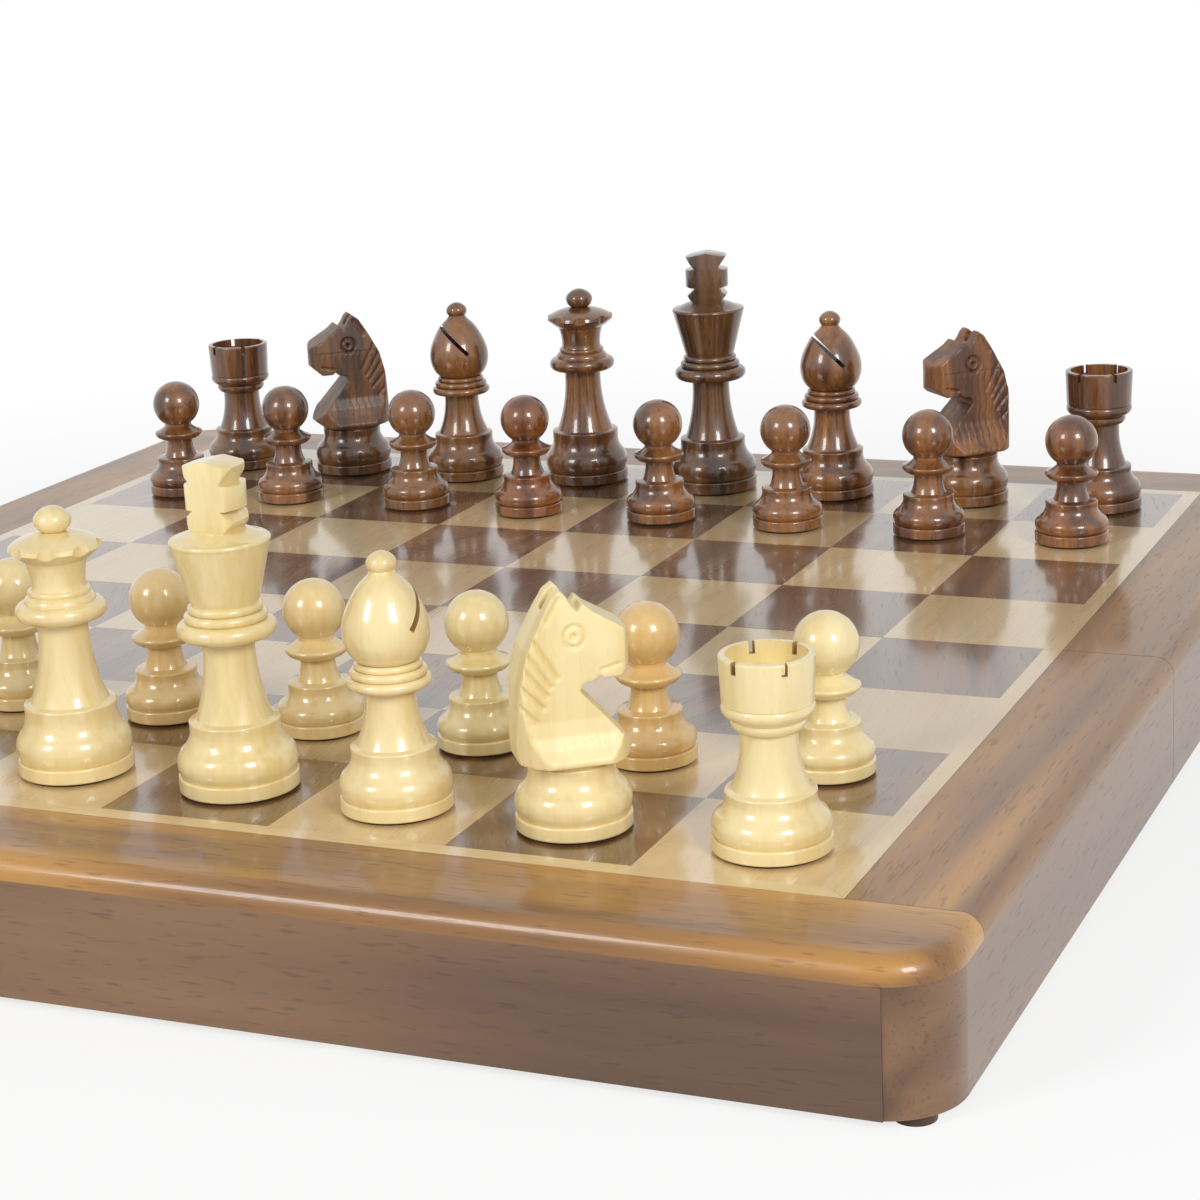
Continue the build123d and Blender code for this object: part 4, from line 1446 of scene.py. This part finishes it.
@dataclass
class Studio:
    """Pale floor, two soft lamps and the camera of the photograph."""

    eye: Spot = (0.25248, -0.48959, 0.17697)
    heading: float = -23.8449  # the camera's directions are in degrees
    pitch: float = 15.4126
    roll: float = -2.7663
    lens: float = 82.91
    film: float = 36.0
    surround: float = 0.34  # how bright the surround is as light
    aim: Spot = (0.0, 0.0, 0.02)  # what the lamps point at
    lamp_size: Point = (0.34, 0.4)
    lamps: tuple[tuple[str, Spot, float], ...] = (
        ("lamp_left", (-0.5, -1.05, 0.68), 5.6), ("lamp_right", (0.9, -0.72, 0.68), 7.6))
    floor_size: float = 6.0
    paper: Colour = (0.95, 0.95, 0.95)
    lit: Colour = (1.0, 1.0, 1.0)
    # Distances between which the floor fades to lit white, and how lit it is at each.
    fade: Point = (0.15, 0.45)
    fade_share: Point = (0.76, 1.0)

    def camera(self) -> None:
        """Camera fitted to the corners of the squares."""
        a, e, r = (math.radians(v) for v in (self.heading, self.pitch, self.roll))
        ahead = Vector((math.sin(a) * math.cos(e), math.cos(a) * math.cos(e), -math.sin(e)))
        right = Vector((math.cos(a), -math.sin(a), 0))
        up = right.cross(ahead)
        across = math.cos(r) * right + math.sin(r) * up
        above = -math.sin(r) * right + math.cos(r) * up
        data = bpy.data.cameras.new("camera")
        data.lens, data.sensor_width = self.lens, self.film
        data.clip_start, data.clip_end = 0.01, 20
        camera = new_object("camera", data)
        turn = Matrix((across, above, -ahead)).transposed().to_4x4()
        camera.matrix_world = Matrix.Translation(self.eye) @ turn
        bpy.context.scene.camera = camera

    def lamp(self, name: str, place: Spot, power: float) -> None:
        """A soft box aimed at the board.

        Args:
            name: its name.
            place: its middle.
            power: watts.
        """
        data = bpy.data.lights.new(name, "AREA")
        data.shape, data.size, data.size_y, data.energy = "RECTANGLE", *self.lamp_size, power
        lamp = new_object(name, data)
        lamp.location = place
        ray = Vector(self.aim) - Vector(place)
        lamp.rotation_euler = ray.to_track_quat("-Z", "Y").to_euler()

    def world(self) -> None:
        """White surround for the camera and for reflections, softer as light."""
        world = bpy.data.worlds.new("surround")
        bpy.context.scene.world = world
        world.use_nodes = True
        nodes = Nodes(world.node_tree)
        level = nodes.node("ShaderNodeMapRange", inputs={0: nodes.seen(), 3: self.surround, 4: 1.0})
        nodes.send("ShaderNodeOutputWorld", nodes.node(
            "ShaderNodeBackground", inputs={"Color": self.lit, "Strength": level}))

    def floor(self) -> None:
        """Wide pale floor that keeps the board's shadow and can be looked through from below."""
        shape = bmesh.new()
        bmesh.ops.create_grid(shape, x_segments=1, y_segments=1, size=self.floor_size)
        mesh = bpy.data.meshes.new("floor")
        shape.to_mesh(mesh)
        shape.free()
        graph = Graph("floor_paper")
        paper = graph.node("ShaderNodeBsdfDiffuse", inputs={"Color": self.paper})
        glow = graph.node("ShaderNodeEmission", inputs={"Color": self.lit, "Strength": 1.0})
        x, y, _ = graph.axes(graph.place())
        away = graph.node("ShaderNodeVectorMath", {"operation": "LENGTH"},
                          {0: graph.join(x, y, 0.0)}, output="Value")
        share = graph.seen() * away.ramp(*self.fade, *self.fade_share)
        sheet = graph.node("ShaderNodeMixShader", inputs={0: share, 1: paper, 2: glow})
        under = graph.node("ShaderNodeNewGeometry", output="Backfacing")
        clear = graph.node("ShaderNodeBsdfTransparent")
        graph.send("ShaderNodeOutputMaterial", graph.node(
            "ShaderNodeMixShader", inputs={0: under, 1: sheet, 2: clear}))
        mesh.materials.append(graph.material)
        new_object("floor", mesh)

    def build(self) -> None:
        """Set up the whole studio."""
        bpy.context.scene.view_settings.view_transform = "Standard"
        self.camera()
        self.world()
        self.floor()
        for each in self.lamps:
            self.lamp(*each)
        log.info("set up the studio")


def main() -> None:
    """Build the scene in order."""
    logging.basicConfig(level=logging.INFO, format="%(message)s")
    Studio().build()
    Board().dress()
    ChessMen().build()
    log.info("wrote both boxes")


if __name__ == "__main__":
    main()
